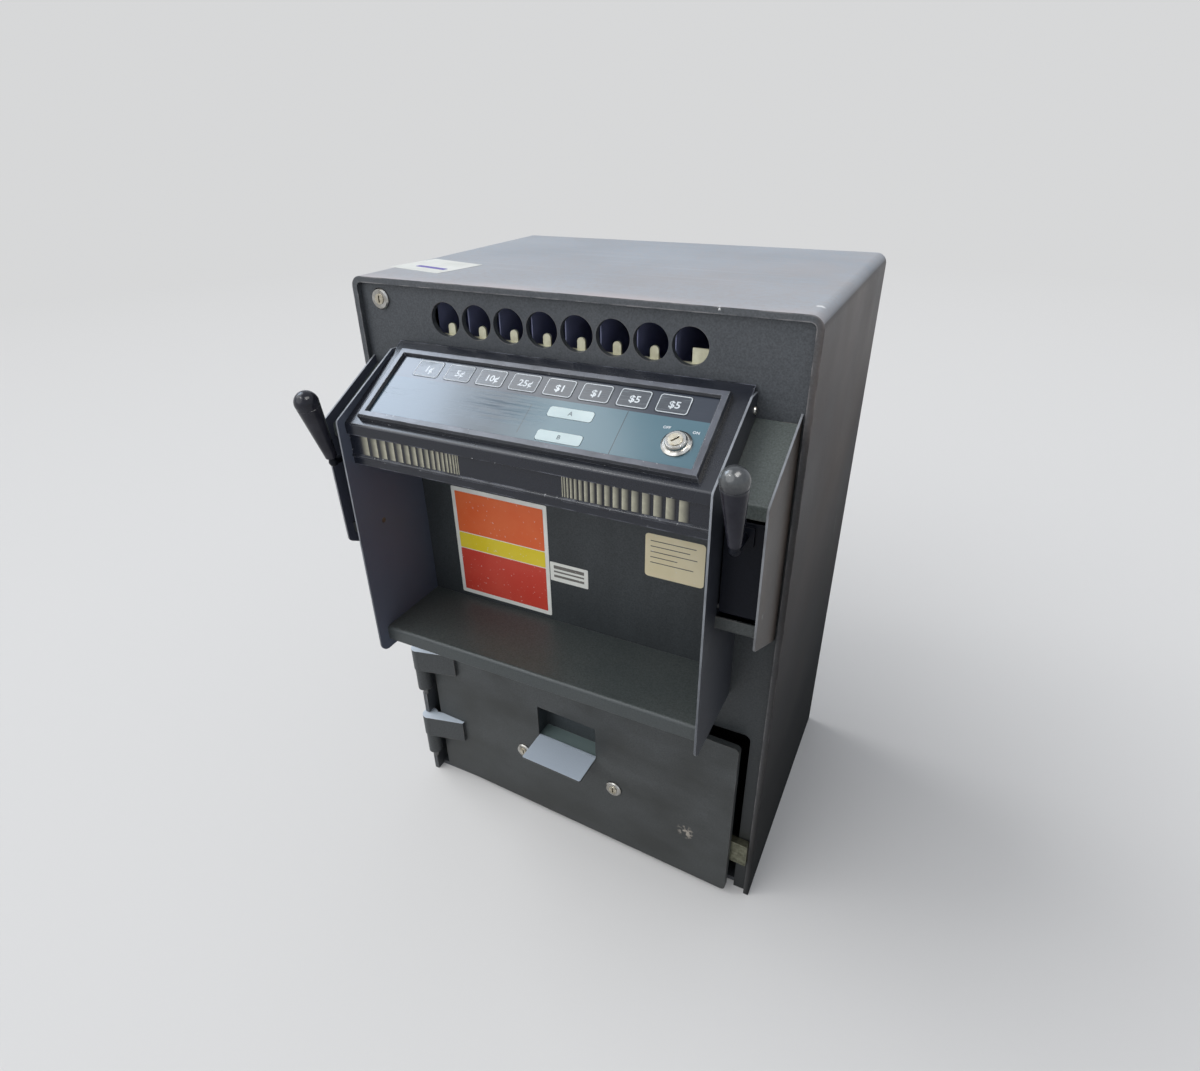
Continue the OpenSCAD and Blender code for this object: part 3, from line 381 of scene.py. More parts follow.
bare_sheet, _, shader, _ = mottled(
    "bare_sheet", clean=(0.13, 0.135, 0.14, 1), marked=(0.17, 0.175, 0.18, 1),
    scale=60.0, smooth=0.42, rough=0.58)
shader.inputs["Metallic"].default_value = 0.7
give(bare_sheet, "vault_ceiling", "drop_ducts", "keypad_base", "controller_box", "door_backer", "bolt_guides")

blue_zinc = mottled(
    "blue_zinc", clean=(0.20, 0.215, 0.36, 1), marked=(0.25, 0.27, 0.42, 1),
    scale=40.0, smooth=0.38, rough=0.55, stretch=(1.0, 1.0, 0.15))[0]
give(blue_zinc, "tube_magazine", "tube_dividers")

cream_plastic = mottled(
    "cream_plastic", clean=(0.72, 0.70, 0.52, 1), marked=(0.50, 0.47, 0.32, 1),
    scale=90.0, smooth=0.38, rough=0.55)[0]
give(cream_plastic, "tube_comb")


# Locks: nickel-plated cylinders with a round face, held by a nut behind the plate. Their plugs
# are a little yellower, from years of keys. Pins and pivots are plain dark rod.
def plated(name, bright, dull, smooth, rough):
    """Plated or bare metal that has tarnished in small clouds."""
    finish, tree, shader, clouds = mottled(name, bright, dull, scale=170.0, smooth=smooth, rough=rough)
    tree.links.new(grain_normal(tree, clouds, depth=0.00006, round_edges=0.0004), shader.inputs["Normal"])
    shader.inputs["Metallic"].default_value = 1.0
    return finish


nickel = plated("nickel", bright=(0.49, 0.48, 0.455, 1), dull=(0.27, 0.255, 0.225, 1),
                smooth=0.12, rough=0.30)
give(nickel, "door_locks", "top_lock", "switch_body", "cheek_screws")
plug_brass = plated("plug_brass", bright=(0.60, 0.56, 0.47, 1), dull=(0.34, 0.30, 0.22, 1),
                    smooth=0.15, rough=0.34)
give(plug_brass, "left_lock_plug", "right_lock_plug", "top_lock_plug", "switch_plug")
rod_steel = plated("rod_steel", bright=(0.16, 0.16, 0.16, 1), dull=(0.08, 0.08, 0.08, 1),
                   smooth=0.35, rough=0.55)
give(rod_steel, "hopper_pivots", "hinge_pins")


# Pick-up tray: two plain cheeks of black sheet whose cut edges have lost their paint and carry
# a painted highlight, and a folded shelf between them, welded to the front panel. The left
# cheek's face that looks right carries painted light.
edge_low_z = 0.36
edge_high_z = 0.60


def show_edges(tree, shader, point, tone, amount):
    """Rubs the paint off the cut edges of an upright plate and paints a highlight on them, least where they
    stand low.
    """
    on_edge = combine(tree, "SUBTRACT", 1.0, facing(tree, "X", both_ways=True))
    rubbed = spread(tree, noise(tree, point, 60.0, 4.0), 0.25, 0.60, 0.55, 1.0)
    # The fade with height is painted highlight from above, as well as wear.
    handled = spread(tree, split(tree, point)["Z"], edge_low_z, edge_high_z, 0.3 * amount, amount)
    repaint(tree, shader, times(tree, on_edge, rubbed, handled), tone)


def lit_face_copy(finish, name, tone):
    """The same paint with painted light on the face that looks right."""
    paler_tone = finish.copy()
    paler_tone.name = name
    tree = paler_tone.node_tree
    repaint(tree, tree.nodes["Principled BSDF"], facing(tree, "X"), tone)
    return paler_tone


cheek_black = (0.026, 0.029, 0.037, 1)
cheek_dust = (0.040, 0.042, 0.048, 1)
cheek_lit_face = (0.095, 0.108, 0.145, 1)
cheek_edge = (0.36, 0.38, 0.41, 1)
cheek_paint, tree, shader, point = worn_paint(
    "cheek_paint", cheek_black, cheek_dust, cheek_edge, roughness=0.40, wear=0.5,
    edge_reach=0.0011, grain=900.0, depth=0.0002, shine=0.25)
show_edges(tree, shader, point, cheek_edge, amount=0.8)
give(cheek_paint, "inner_cheek_right")
give(lit_face_copy(cheek_paint, "lit_face_cheek", cheek_lit_face), "inner_cheek_left")

shelf_paint, tree, shader, _ = worn_paint(
    "shelf_paint", tone=(0.062, 0.072, 0.071, 1), paler_tone=(0.085, 0.094, 0.091, 1), bare=charcoal_worn,
    roughness=0.36, wear=0.5, edge_reach=0.0015)
on_flange = facing(tree, "Y", both_ways=True)
repaint(tree, shader, times(tree, on_flange, 0.55), low_charcoal)
give(shelf_paint, "tray_shelf")


# Console: a sloped lid and a fascia, folded from thin sheet in a blue-black enamel that has
# rubbed through to grey along the folds and is chipped there.
chip_reach = 0.0035


def chip_edges(tree, shader, point):
    """Small pale chips where the enamel has been knocked off along the folds."""
    knocked = spread(tree, noise(tree, point, 230.0, 3.0), 0.67, 0.71, 0.0, 0.8)
    repaint(tree, shader, times(tree, edge_mask(tree, chip_reach), knocked), chip_white)


console_black = (0.009, 0.011, 0.018, 1)
console_dust = (0.016, 0.018, 0.026, 1)
console_rubbed = (0.20, 0.21, 0.25, 1)
console_paint, tree, shader, point = worn_paint(
    "console_paint", console_black, console_dust, console_rubbed, roughness=0.23, wear=0.8,
    grain=900.0, depth=0.0001, shine=0.48)
chip_edges(tree, shader, point)
give(console_paint, "console_lid", "fascia")


# Fascia stripes: two groups of cream bars printed on the sheet, which grow thinner towards the
# middle. Each is shaded across its width.
def start_tree(name, sizes):
    """A geometry tree with a named number input for each size, and its input and output nodes."""
    tree = bpy.data.node_groups.new(name, "GeometryNodeTree")
    tree.interface.new_socket("Geometry", in_out="OUTPUT", socket_type="NodeSocketGeometry")
    for size in sizes:
        tree.interface.new_socket(size, in_out="INPUT", socket_type="NodeSocketFloat")
    return tree, tree.nodes.new("NodeGroupInput").outputs, tree.nodes.new("NodeGroupOutput")


def close_tree(tree, geometry, output, finish):
    """Ends a geometry tree in real mesh with its finish."""
    real = add_node(tree, "GeometryNodeRealizeInstances", {"Geometry": geometry})
    finished = add_node(tree, "GeometryNodeSetMaterial", {
        "Geometry": real.outputs["Geometry"], "Material": finish})
    tree.links.new(finished.outputs["Geometry"], output.inputs["Geometry"])


def plain_mesh(name, seed):
    """The evaluated shape of an object as a plain mesh, and the object taken away."""
    mesh = bpy.data.meshes.new_from_object(seed.evaluated_get(bpy.context.evaluated_depsgraph_get()))
    bpy.data.objects.remove(seed)
    mesh.name = name
    return mesh


def add_piece(name, mesh, place, body):
    """A finished piece whose place is put into its points, riding on a body."""
    mesh.transform(place)
    made = link_object(name, mesh)
    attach(made, body)


def grow(name, tree, sizes):
    """Plain mesh that a geometry tree makes with these sizes."""
    seed = link_object(name + "_seed", bpy.data.meshes.new(name + "_seed"))
    modifier = seed.modifiers.new("grow", "NODES")
    modifier.node_group = tree
    for socket in tree.interface.items_tree:
        if socket.in_out == "INPUT":
            modifier[socket.identifier] = float(sizes[socket.name])
    return plain_mesh(name, seed)


stripe_dark = (0.014, 0.014, 0.016, 1)
stripe_pale = (0.47, 0.45, 0.34, 1)
stripe_cream, tree, shader = start_finish("stripe_cream")
across = add_node(tree, "ShaderNodeAttribute", attribute_name="across").outputs["Fac"]
rubbed = spread(tree, noise(tree, object_point(tree), 220.0, 4.0), 0.35, 0.70, 0.75, 1.0)
shade = times(tree, spread(tree, across, 0.05, 0.95), rubbed)
fill_sockets(tree, [
    (shader.inputs["Base Color"], mix_color(tree, shade, stripe_dark, stripe_pale)),
    (shader.inputs["Roughness"], spread(tree, shade, 0.0, 1.0, 0.30, 0.42))])

# Each pitch is shorter than the one before it by the same amount, so the start of a bar is
# the run of full pitches less what the earlier ones have lost.
tree, sizes, output = start_tree(
    "stripe_row", ("Count", "First Pitch", "Last Pitch", "Bar Share", "Height", "Thickness", "Direction"))
stripe_tree = tree
index = add_node(tree, "GeometryNodeInputIndex").outputs["Index"]
whole_loss = combine(tree, "SUBTRACT", sizes["First Pitch"], sizes["Last Pitch"])
loss = combine(tree, "DIVIDE", whole_loss, combine(tree, "SUBTRACT", sizes["Count"], 1.0))
pitch = combine(tree, "SUBTRACT", sizes["First Pitch"], times(tree, index, loss))
width = times(tree, pitch, sizes["Bar Share"])
lost_run = times(tree, index, combine(tree, "SUBTRACT", index, 1.0), 0.5, loss)
start = combine(tree, "SUBTRACT", times(tree, index, sizes["First Pitch"]), lost_run)
middle = combine(tree, "ADD", start, times(tree, width, 0.5))
bar_place = add_node(tree, "ShaderNodeCombineXYZ", {"X": times(tree, middle, sizes["Direction"])})
points = add_node(tree, "GeometryNodePoints", {
    "Count": sizes["Count"], "Position": bar_place.outputs["Vector"]})
bar = add_node(tree, "GeometryNodeMeshCube", {"Size": (1, 1, 1)})
bar_x = split(tree, add_node(tree, "GeometryNodeInputPosition").outputs["Position"])["X"]
marked = add_node(tree, "GeometryNodeStoreNamedAttribute", {
    "Geometry": bar.outputs["Mesh"], "Name": "across",
    "Value": combine(tree, "ADD", times(tree, bar_x, sizes["Direction"]), 0.5)},
    data_type="FLOAT", domain="POINT")
bar_size = add_node(tree, "ShaderNodeCombineXYZ", {
    "X": width, "Y": sizes["Thickness"], "Z": sizes["Height"]})
bars = add_node(tree, "GeometryNodeInstanceOnPoints", {
    "Points": points.outputs[0], "Instance": marked.outputs["Geometry"], "Scale": bar_size.outputs["Vector"]})
close_tree(tree, bars.outputs["Instances"], output, stripe_cream)

fascia_low, fascia_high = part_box("fascia")
bead_out = 0.0015
stripe_t = 0.0003
stripe_y = fascia_low.y + bead_out - stripe_t / 2
stripe_up = 0.0224
left_margin = 0.0145
right_margin = 0.0215
for side, outer_x, direction in (
        ("left", fascia_low.x + left_margin, 1), ("right", fascia_high.x - right_margin, -1)):
    stripes = grow("stripes_" + side, stripe_tree, {
        "Count": 17, "First Pitch": 0.0123, "Last Pitch": 0.0020, "Bar Share": 0.74, "Height": 0.020,
        "Thickness": stripe_t, "Direction": direction})
    add_piece("stripes_" + side, stripes, Matrix.Translation((outer_x, stripe_y, fascia_low.z + stripe_up)),
              "cabinet")


# Keypad: a bevelled frame of enamelled sheet round a printed film that is glued to its base.
# The film is dark along the row of keys and teal below it, with thin dividing lines.
def joint(name):
    """The frame's row for one joint."""
    return next(row for row in frame["joints"] if row["name"] == name)


def local_box(node, place):
    """Lowest and highest corners of a CAD node, measured in the frame of a place."""
    points = [place.inverted() @ corner.co for corner in frame["nodes"][node].data.vertices]
    return [Vector([pick(point[axis] for point in points) for axis in range(3)]) for pick in (min, max)]


def local_point(tree, place):
    """Object point measured in the frame of a place."""
    back = place.inverted()
    return add_node(tree, "ShaderNodeMapping", {
        "Vector": object_point(tree), "Location": back.to_translation(),
        "Rotation": back.to_euler()}, vector_type="POINT").outputs["Vector"]


# The pad's frame starts in the middle of the film's lower edge: X across, Y up, Z off the film.
press = Vector(joint("key_1_press")["axis"])
lid_turn = Matrix.Rotation(math.atan2(press.y, -press.z), 4, "X")
film_low, film_high = local_box("keypad_overlay", lid_turn)
pad_place = lid_turn @ Matrix.Translation((0, film_low.y, film_high.z))
key_low, key_high = local_box("key_1", pad_place)

frame_black = (0.020, 0.022, 0.028, 1)
frame_dust = (0.036, 0.038, 0.044, 1)
frame_rubbed = (0.26, 0.27, 0.31, 1)
frame_handled = (0.17, 0.18, 0.215, 1)
frame_paint, tree, shader, point = worn_paint(
    "frame_paint", frame_black, frame_dust, frame_rubbed, roughness=0.24, wear=0.8,
    edge_reach=0.0016, grain=900.0, depth=0.0001, shine=0.5)
level_face = add_node(tree, "ShaderNodeVectorMath", {
    0: true_normal(tree), 1: -press}, operation="DOT_PRODUCT")
handled = times(tree, spread(tree, level_face.outputs["Value"], 0.80, 0.97),
                spread(tree, noise(tree, point, 50.0, 8.0), 0.30, 0.70, 0.30, 0.75))
repaint(tree, shader, handled, frame_handled)
chip_edges(tree, shader, point)
give(frame_paint, "keypad_frame")

film_dark = (0.030, 0.038, 0.056, 1)
film_teal = (0.085, 0.170, 0.212, 1)
film_slate = (0.022, 0.050, 0.076, 1)
film_line = (0.006, 0.010, 0.012, 1)
film_scratch = (0.16, 0.20, 0.22, 1)
film_shine = 0.65
band_below_keys = 0.0036
band_y = key_low.y - band_below_keys
band_blur = 0.0003
teal_blend = 0.03
line_half = 0.0005
line_end = 0.001
switch_line_x = 0.0954
wide_key_line = (0.0074, 0.0414)
dulled_middle = (-0.025, 0.0324, 0.0)
dulled_reach = 0.026
dulled_core = 0.006
dulled_squeeze = (0.40, 1.0, 0.0)

overlay_film, tree, shader = start_finish("overlay_film")
point = local_point(tree, pad_place)
on_pad = split(tree, point)
color = mix_color(tree, spread(tree, on_pad["X"], -teal_blend, teal_blend), film_slate, film_teal)
color = mix_color(tree, spread(tree, on_pad["Y"], band_y - band_blur, band_y + band_blur), color, film_dark)
for line_x, line_low, line_high in ((switch_line_x, 0.0, band_y), (0.0, *wide_key_line)):
    off_line = combine(tree, "ABSOLUTE", combine(tree, "SUBTRACT", on_pad["X"], line_x), 0.0)
    line = times(tree, spread(tree, off_line, line_half, line_half * 0.6),
                 spread(tree, on_pad["Y"], line_low - line_end, line_low),
                 spread(tree, on_pad["Y"], line_high, line_high - line_end))
    color = mix_color(tree, times(tree, line, 0.8), color, film_line)
wiped = spread(tree, noise(tree, point, 1.0, 4.0, stretch=(14.0, 900.0, 1.0)), 0.58, 0.74)
scratched = times(tree, wiped, spread(tree, noise(tree, point, 14.0, 3.0), 0.42, 0.62))
color = mix_color(tree, times(tree, scratched, 0.35), color, film_scratch)
from_dulled = add_node(tree, "ShaderNodeVectorMath", {0: point, 1: dulled_middle}, operation="SUBTRACT")
from_dulled = add_node(tree, "ShaderNodeVectorMath", {
    0: from_dulled.outputs["Vector"], 1: dulled_squeeze}, operation="MULTIPLY")
from_dulled = distance(tree, from_dulled.outputs["Vector"], (0, 0, 0))
streaks = spread(tree, noise(tree, point, 1.0, 5.0, stretch=(16.0, 420.0, 1.0)), 0.40, 0.56)
dulled = times(tree, spread(tree, from_dulled, dulled_reach, dulled_core), streaks)
fill_sockets(tree, [
    (shader.inputs["Base Color"], color),
    (shader.inputs["Roughness"], combine(
        tree, "ADD", spread(tree, scratched, 0.0, 1.0, 0.16, 0.40), times(tree, dulled, 0.38))),
    (shader.inputs["Specular IOR Level"], film_shine)])
give(overlay_film, "keypad_overlay")


# Keys: domes under the film, each with a white outline and its value printed on it, and two
# paler keys below with a plain letter each. The switch beside them has its two words.
def scuffed_print(name, tone, faded, roughness):
    """Printed paper or film that is faded in clouds and has a few pale scuffs."""
    finish, tree, shader = start_finish(name)
    point = object_point(tree)
    fade = spread(tree, noise(tree, point, 28.0, 5.0), 0.35, 0.75)
    scuffs = spread(tree, noise(tree, point, 260.0, 3.0), 0.66, 0.72, 0.0, 0.5)
    scuff_tone = (0.72, 0.70, 0.66, 1)
    color = mix_color(tree, scuffs, mix_color(tree, fade, tone, faded), scuff_tone)
    fill_sockets(tree, [
        (shader.inputs["Base Color"], color),
        (shader.inputs["Roughness"], spread(tree, fade, 0.0, 1.0, roughness, roughness + 0.15))])
    return finish


key_values = ("1¢", "5¢", "10¢", "25¢", "$1", "$1", "$5", "$5")
keys = ["key_%d" % (number + 1) for number in range(len(key_values))]
key_black = (0.060, 0.068, 0.082, 1)
key_film, tree, shader = start_finish("key_film")
wiped = noise(tree, local_point(tree, pad_place), 1.0, 4.0, stretch=(40.0, 500.0, 1.0))
rubbed = spread(tree, wiped, 0.5, 0.75)
fill_sockets(tree, [
    (shader.inputs["Base Color"], mix_color(tree, times(tree, rubbed, 0.3), key_black, film_scratch)),
    (shader.inputs["Roughness"], spread(tree, rubbed, 0.0, 1.0, 0.18, 0.40)),
    (shader.inputs["Specular IOR Level"], film_shine)])
give(key_film, *keys)

pale_film = scuffed_print(
    "pale_film", tone=(0.60, 0.70, 0.70, 1), faded=(0.50, 0.60, 0.61, 1), roughness=0.28)
give(pale_film, "key_wide_1", "key_wide_2")

ink_t = 0.00012
ink_swell = 0.02
white_ink = scuffed_print(
    "white_ink", tone=(0.78, 0.82, 0.85, 1), faded=(0.56, 0.60, 0.63, 1), roughness=0.20)
dark_ink = scuffed_print(
    "dark_ink", tone=(0.10, 0.13, 0.14, 1), faded=(0.22, 0.26, 0.27, 1), roughness=0.40)

tree, sizes, output = start_tree("key_outline", ("Width", "Length", "Corner", "Line", "Thickness"))
outline_tree = tree
border = add_node(tree, "GeometryNodeCurvePrimitiveQuadrilateral", {
    "Width": sizes["Width"], "Height": sizes["Length"]})
rounded = add_node(tree, "GeometryNodeFilletCurve", {
    "Curve": border.outputs["Curve"], "Count": 5, "Radius": sizes["Corner"]}, mode="POLY")
stroke = add_node(tree, "GeometryNodeCurvePrimitiveQuadrilateral", {
    "Width": sizes["Line"], "Height": sizes["Thickness"]})
ring = add_node(tree, "GeometryNodeCurveToMesh", {
    "Curve": rounded.outputs["Curve"], "Profile Curve": stroke.outputs["Curve"]})
close_tree(tree, ring.outputs["Mesh"], output, white_ink)


def on_key(key, right=0.0, up=0.0):
    """Place for ink on the middle of a key, or beside it."""
    low, high = local_box(key, pad_place)
    middle = (low + high) / 2
    return pad_place @ Matrix.Translation((middle.x + right, middle.y + up, high.z + ink_t / 2))


def ink_words(name, words, size, place, finish, body):
    """Printed words as a thin closed mesh, centred on their place."""
    text = bpy.data.curves.new(name, "FONT")
    text.body = words
    text.size = size
    text.extrude = ink_t / 2
    text.offset = size * ink_swell
    text.resolution_u = 3
    text.align_x = "CENTER"
    text.align_y = "CENTER"
    mesh = plain_mesh(name, link_object(name + "_seed", text))
    mesh.materials.clear()
    mesh.materials.append(finish)
    add_piece(name, mesh, place, body)


outline_inset = 0.0009
outline_corner = 0.0026
outline_line = 0.0009
value_size = 0.0108
value_shift = 0.001
for key, value in zip(keys, key_values):
    outline = grow(key + "_outline", outline_tree, {
        "Width": key_high.x - key_low.x - 2 * outline_inset,
        "Length": key_high.y - key_low.y - 2 * outline_inset,
        "Corner": outline_corner, "Line": outline_line, "Thickness": ink_t})
    add_piece(key + "_outline", outline, on_key(key), "b_" + key)
    value_place = on_key(key, right=value_shift, up=-value_shift)
    ink_words(key + "_value", value, value_size, value_place, white_ink, "b_" + key)
letter_size = 0.0066
for key, letter in (("key_wide_1", "A"), ("key_wide_2", "B")):
    ink_words(key + "_letter", letter, letter_size, on_key(key), dark_ink, "b_" + key)

switch_size = 0.0040
switch = pad_place.inverted() @ Vector(joint("key_switch_turn")["pos_m"])
for words, right, up in (("OFF", -0.0143, 0.0156), ("ON", 0.0126, 0.0146)):
    word_place = pad_place @ Matrix.Translation((switch.x + right, switch.y + up, ink_t / 2))
    ink_words("switch_" + words.lower(), words, switch_size, word_place, white_ink, "cabinet")


# Drops: a cheek, a sloped cover and a floor of painted sheet at each side, welded to the front,
# and a black hopper that tips out by a rod with a moulded grip.
drop_rust = (0.080, 0.061, 0.048, 1)
drop_lit_face = (0.085, 0.092, 0.125, 1)
drop_paint, tree, shader, point = worn_paint(
    "drop_paint", tone=(0.041, 0.035, 0.031, 1), paler_tone=(0.062, 0.051, 0.044, 1), bare=cheek_edge,
    roughness=0.42, wear=0.5, edge_reach=0.0011, shine=0.2)
smear(tree, shader, point, stretch=(1.0, 34.0, 11.0), amount=0.6, tone=drop_rust)
show_edges(tree, shader, point, cheek_edge, amount=0.75)
give(drop_paint, "outer_cheek_right")
# Painted light: the left outer cheek's face that looks right, into the drop, is painted paler.
give(lit_face_copy(drop_paint, "lit_face_drop", drop_lit_face), "outer_cheek_left")
ledge_paint = worn_paint(
    "ledge_paint", tone=(0.046, 0.052, 0.052, 1), paler_tone=(0.070, 0.074, 0.072, 1), bare=charcoal_worn,
    roughness=0.42, wear=0.4, edge_reach=0.0015)[0]
give(ledge_paint, "drop_floor_left", "drop_floor_right")
cover_paint = worn_paint(
    "cover_paint", tone=(0.085, 0.100, 0.094, 1), paler_tone=(0.112, 0.126, 0.118, 1), bare=charcoal_worn,
    roughness=0.40, wear=0.4, edge_reach=0.0015)[0]
give(cover_paint, "drop_cover_left", "drop_cover_right")
hopper_paint = worn_paint(
    "hopper_paint", tone=(0.004, 0.005, 0.009, 1), paler_tone=(0.008, 0.009, 0.014, 1), bare=(0.06, 0.06, 0.07, 1),
    roughness=0.40, wear=0.4, edge_reach=0.0011, grain=900.0, depth=0.0002, shine=0.12)[0]
give(hopper_paint, "hopper_left", "hopper_right")

black_plastic, tree, shader, _ = mottled(
    "black_plastic", clean=(0.013, 0.013, 0.019, 1), marked=(0.026, 0.026, 0.035, 1),
    scale=45.0, smooth=0.10, rough=0.26)
pebbles = noise(tree, object_point(tree), 700.0, 2.0)
tree.links.new(grain_normal(tree, pebbles, depth=0.00005, round_edges=0.0005), shader.inputs["Normal"])
shader.inputs["Specular IOR Level"].default_value = 0.25
give(black_plastic, "grip_left", "cord_bushing")

# The right grip's ball is paler on top: worn, and a painted sheen for the light it reflects.
ball_wear_and_sheen = (0.085, 0.090, 0.090, 1)
ball_start = 0.022
ball_full = 0.010
worn_sheen_grip = black_plastic.copy()
worn_sheen_grip.name = "worn_sheen_grip"
tree = worn_sheen_grip.node_tree
point = object_point(tree)
grip_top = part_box("grip_right")[1].z
on_ball = spread(tree, split(tree, point)["Z"], grip_top - ball_start, grip_top - ball_full)
flecked = spread(tree, noise(tree, point, 150.0, 5.0), 0.35, 0.65, 0.45, 1.0)
shader = tree.nodes["Principled BSDF"]
repaint(tree, shader, times(tree, on_ball, flecked), ball_wear_and_sheen)
tree.links.new(spread(tree, on_ball, 0.0, 1.0, 0.13, 0.6), shader.inputs["Specular IOR Level"])
give(worn_sheen_grip, "grip_right")


# Vault door: a folded skin in the cabinet's paint, hung on two straps. Its lip is bent out of
# the pull opening and its upward faces carry painted light, and an old scuff marks it near the bolt.
hinge = Vector(joint("door_swing")["pos_m"])
hinge.z = 0.0
door_across = Vector(joint("bolt_slide")["axis"])
door_place = Matrix.Translation(hinge) @ Matrix.Rotation(math.atan2(door_across.y, door_across.x), 4, "Z")
pan_low, pan_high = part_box("pull_pan")
face_y = 0.009
pull_blend = 0.010
lip_start = 0.0015
lip_full = 0.0030
door_dark_top = 0.24
door_dark_full = 0.01
scuff_middle = (0.403, face_y, 0.086)
scuff_r = 0.013
door_dark = (0.026, 0.028, 0.027, 1)
lip_lit = (0.70, 0.79, 0.90, 1)
scuff_pale = (0.30, 0.27, 0.23, 1)
strap_top_lit = (0.58, 0.64, 0.71, 1)
pan_shade = (0.012, 0.015, 0.018, 1)
pan_floor_lit = (0.19, 0.25, 0.245, 1)

door_paint, tree, shader, _ = worn_paint(
    "door_paint", tone=(0.049, 0.054, 0.056, 1), paler_tone=(0.066, 0.070, 0.070, 1), bare=charcoal_worn,
    roughness=0.42, wear=0.45, edge_reach=0.0018)
door_point = local_point(tree, door_place)
on_door = split(tree, door_point)
below_pull = spread(tree, on_door["Z"], pan_high.z, pan_high.z - pull_blend)
bent_out = spread(tree, on_door["Y"], face_y - lip_start, face_y - lip_full)
on_lip = times(tree, facing(tree, "Z"), combine(tree, "MAXIMUM", bent_out, below_pull))
near_scuff = spread(tree, distance(tree, door_point, scuff_middle), scuff_r, scuff_r * 0.4)
scuff_marks = spread(tree, noise(tree, door_point, 190.0, 4.0), 0.50, 0.56)
smear(tree, shader, door_point, stretch=(9.0, 1.0, 15.0), amount=0.9, tone=door_dark)
# Painted light: the lip's upward faces are painted pale, for the light from above.
repaint(tree, shader, times(tree, on_lip, 0.9), lip_lit)
# The door is darker towards the bottom.
low_down = spread(tree, on_door["Z"], door_dark_top, door_dark_full, 0.0, 0.55)
repaint(tree, shader, low_down, door_dark)
repaint(tree, shader, times(tree, near_scuff, scuff_marks), scuff_pale)
give(door_paint, "door_skin")

strap_paint, tree, shader, _ = worn_paint(
    "strap_paint", tone=(0.044, 0.048, 0.050, 1), paler_tone=(0.060, 0.064, 0.066, 1), bare=charcoal_worn,
    roughness=0.42, wear=0.5, edge_reach=0.0018)
# Painted light: the straps' upward faces are painted pale, for the light from above.
repaint(tree, shader, facing(tree, "Z"), strap_top_lit)
give(strap_paint, "hinge_straps", "hinge_knuckles")

pan_paint, tree, shader, point = worn_paint(
    "pan_paint", tone=(0.044, 0.051, 0.055, 1), paler_tone=(0.056, 0.063, 0.065, 1), bare=charcoal_worn,
    roughness=0.40, wear=0.3, edge_reach=0.0015)
# Painted shade high in the pull recess, and painted light on the pan's upward faces.
high_up = spread(tree, split(tree, point)["Z"], (pan_low.z + pan_high.z) / 2, pan_high.z, 0.0, 0.7)
repaint(tree, shader, high_up, pan_shade)
repaint(tree, shader, facing(tree, "Z"), pan_floor_lit)
give(pan_paint, "pull_pan")


# Bolt: a zinc-plated bar with a yellow tint that slides in guides behind the skin, thrown past
# the edge of the door.
bolt_zinc = plated("bolt_zinc", bright=(0.20, 0.20, 0.145, 1), dull=(0.09, 0.09, 0.064, 1),
                   smooth=0.30, rough=0.48)
give(bolt_zinc, "door_bolt")


# Labels: printed paper cards, glued to the wall of the tray and to the top of the cabinet, a
# little faded and scuffed. They carry plain bands, bars and lines.
def round_corners(width, height, radius, steps=5):
    """Points of a rectangle with round corners around the origin, anticlockwise."""
    points = []
    for turn, (sx, sy) in enumerate(((1, 1), (-1, 1), (-1, -1), (1, -1))):
        for step in range(steps + 1):
            angle = math.pi / 2 * (turn + step / steps)
            points.append((sx * (width / 2 - radius) + radius * math.cos(angle),
                           sy * (height / 2 - radius) + radius * math.sin(angle)))
    return points


paper_t = 0.00025
paper_layer = 1
print_layer = 2
print_corner = 0.0003


def card(name, width, height, radius, layer, place, finish):
    """A thin closed card, made face up: the paper itself, or print that stands one layer over it."""
    shape = bmesh.new()
    face = shape.faces.new([shape.verts.new((x, y, 0)) for x, y in round_corners(width, height, radius)])
    lifted = bmesh.ops.extrude_face_region(shape, geom=[face])["geom"]
    bmesh.ops.translate(shape, vec=(0, 0, layer * paper_t),
                        verts=[corner for corner in lifted if isinstance(corner, bmesh.types.BMVert)])
    bmesh.ops.recalc_face_normals(shape, faces=shape.faces[:])
    mesh = bpy.data.meshes.new(name)
    shape.to_mesh(mesh)
    shape.free()
    mesh.materials.append(finish)
    add_piece(name, mesh, place, "cabinet")


def on_wall(x, z):
    """Place of a card that faces the front on the wall of the tray."""
    wall_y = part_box("front_panel")[0].y
    return Matrix.Translation((x, wall_y, z)) @ Matrix.Rotation(math.radians(90), 4, "X")


paper_white = scuffed_print(
    "paper_white", tone=(0.82, 0.82, 0.77, 1), faded=(0.70, 0.70, 0.65, 1), roughness=0.45)
label_ink = scuffed_print(
    "label_ink", tone=(0.10, 0.095, 0.085, 1), faded=(0.20, 0.19, 0.17, 1), roughness=0.45)

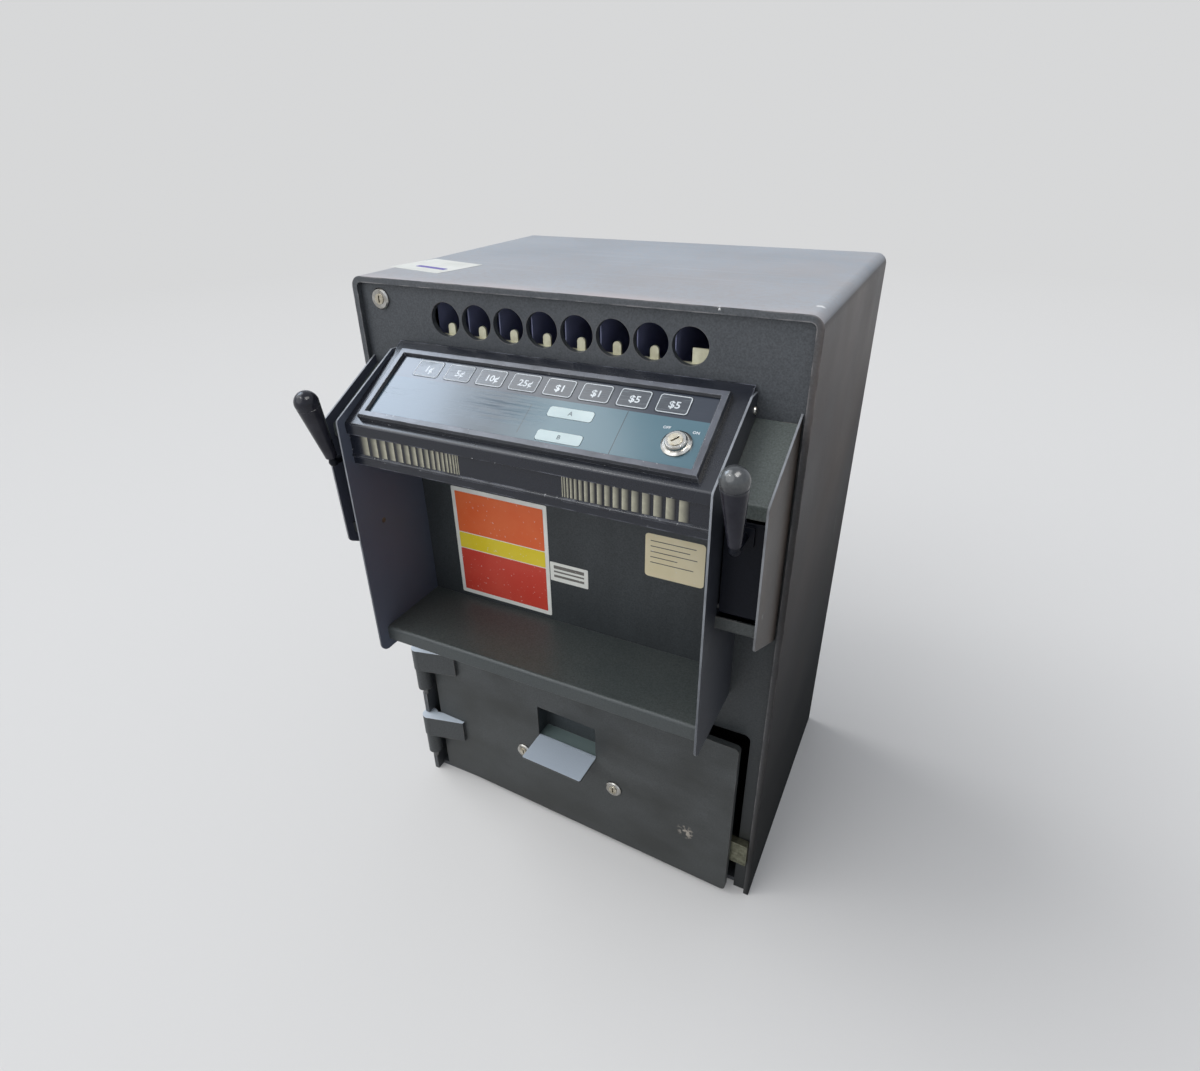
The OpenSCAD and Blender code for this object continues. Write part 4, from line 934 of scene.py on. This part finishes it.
notice_x = -0.0895
notice_z = 0.4235
notice_w = 0.129
notice_h = 0.147
notice_corner = 0.002
notice_border = 0.005
band_corner = 0.0008
band_gap = 0.0012
card("notice_card", notice_w, notice_h, notice_corner, paper_layer, on_wall(notice_x, notice_z), paper_white)
band_room = notice_h - 2 * notice_border
band_top = notice_z + band_room / 2
for band, height_share, tone, faded in (
        ("orange", 0.40, (0.74, 0.115, 0.020, 1), (0.76, 0.15, 0.040, 1)),
        ("yellow", 0.16, (0.78, 0.60, 0.012, 1), (0.80, 0.64, 0.05, 1)),
        ("red", 0.44, (0.58, 0.045, 0.025, 1), (0.62, 0.07, 0.04, 1))):
    band_h = height_share * band_room
    band_print = scuffed_print("print_" + band, tone, faded, roughness=0.42)
    card("notice_" + band, notice_w - 2 * notice_border, band_h - band_gap, band_corner, print_layer,
         on_wall(notice_x, band_top - band_h / 2), band_print)
    band_top -= band_h

small_x = 0.0005
small_z = 0.414
small_w = 0.049
small_h = 0.025
small_corner = 0.0012
bar_margin = 0.005
bar_w = small_w - 2 * bar_margin
first_bar_up = 0.0065
bar_pitch = 0.0060
card("small_label", small_w, small_h, small_corner, paper_layer, on_wall(small_x, small_z), paper_white)
for row, bar_h in enumerate((0.0042, 0.0020, 0.0030)):
    card("small_bar_%d" % (row + 1), bar_w, bar_h, print_corner, print_layer,
         on_wall(small_x, small_z + first_bar_up - row * bar_pitch), label_ink)

beige_x = 0.127
beige_z = 0.466
beige_w = 0.066
beige_h = 0.052
beige_corner = 0.004
line_margin = 0.006
line_room = beige_w - 2 * line_margin
line_h = 0.0009
first_line_up = 0.018
line_pitch = 0.0065
beige_print = scuffed_print(
    "beige_print", tone=(0.70, 0.61, 0.39, 1), faded=(0.78, 0.70, 0.50, 1), roughness=0.40)
card("beige_label", beige_w, beige_h, beige_corner, paper_layer, on_wall(beige_x, beige_z), beige_print)
for row, line_share in enumerate((0.93, 0.81, 0.96, 0.56, 0.89)):
    line_w = line_share * line_room
    line_x = beige_x - (line_room - line_w) / 2
    card("beige_line_%d" % (row + 1), line_w, line_h, print_corner, print_layer,
         on_wall(line_x, beige_z + first_line_up - row * line_pitch), label_ink)

top_x = -0.199
top_y = -0.094
top_turn = math.radians(-12)
top_w = 0.080
top_h = 0.066
mark_w = 0.046
mark_h = 0.007
mark_right = 0.006
mark_down = 0.012
top_corner = 0.001
top_place = Matrix.Translation((top_x, top_y, wrap_high.z)) @ Matrix.Rotation(top_turn, 4, "Z")
mark_place = top_place @ Matrix.Translation((mark_right, -mark_down, 0))
violet_print = scuffed_print(
    "violet_print", tone=(0.10, 0.07, 0.36, 1), faded=(0.18, 0.15, 0.44, 1), roughness=0.45)
card("top_label", top_w, top_h, top_corner, paper_layer, top_place, paper_white)
card("top_mark", mark_w, mark_h, top_corner, print_layer, mark_place, violet_print)
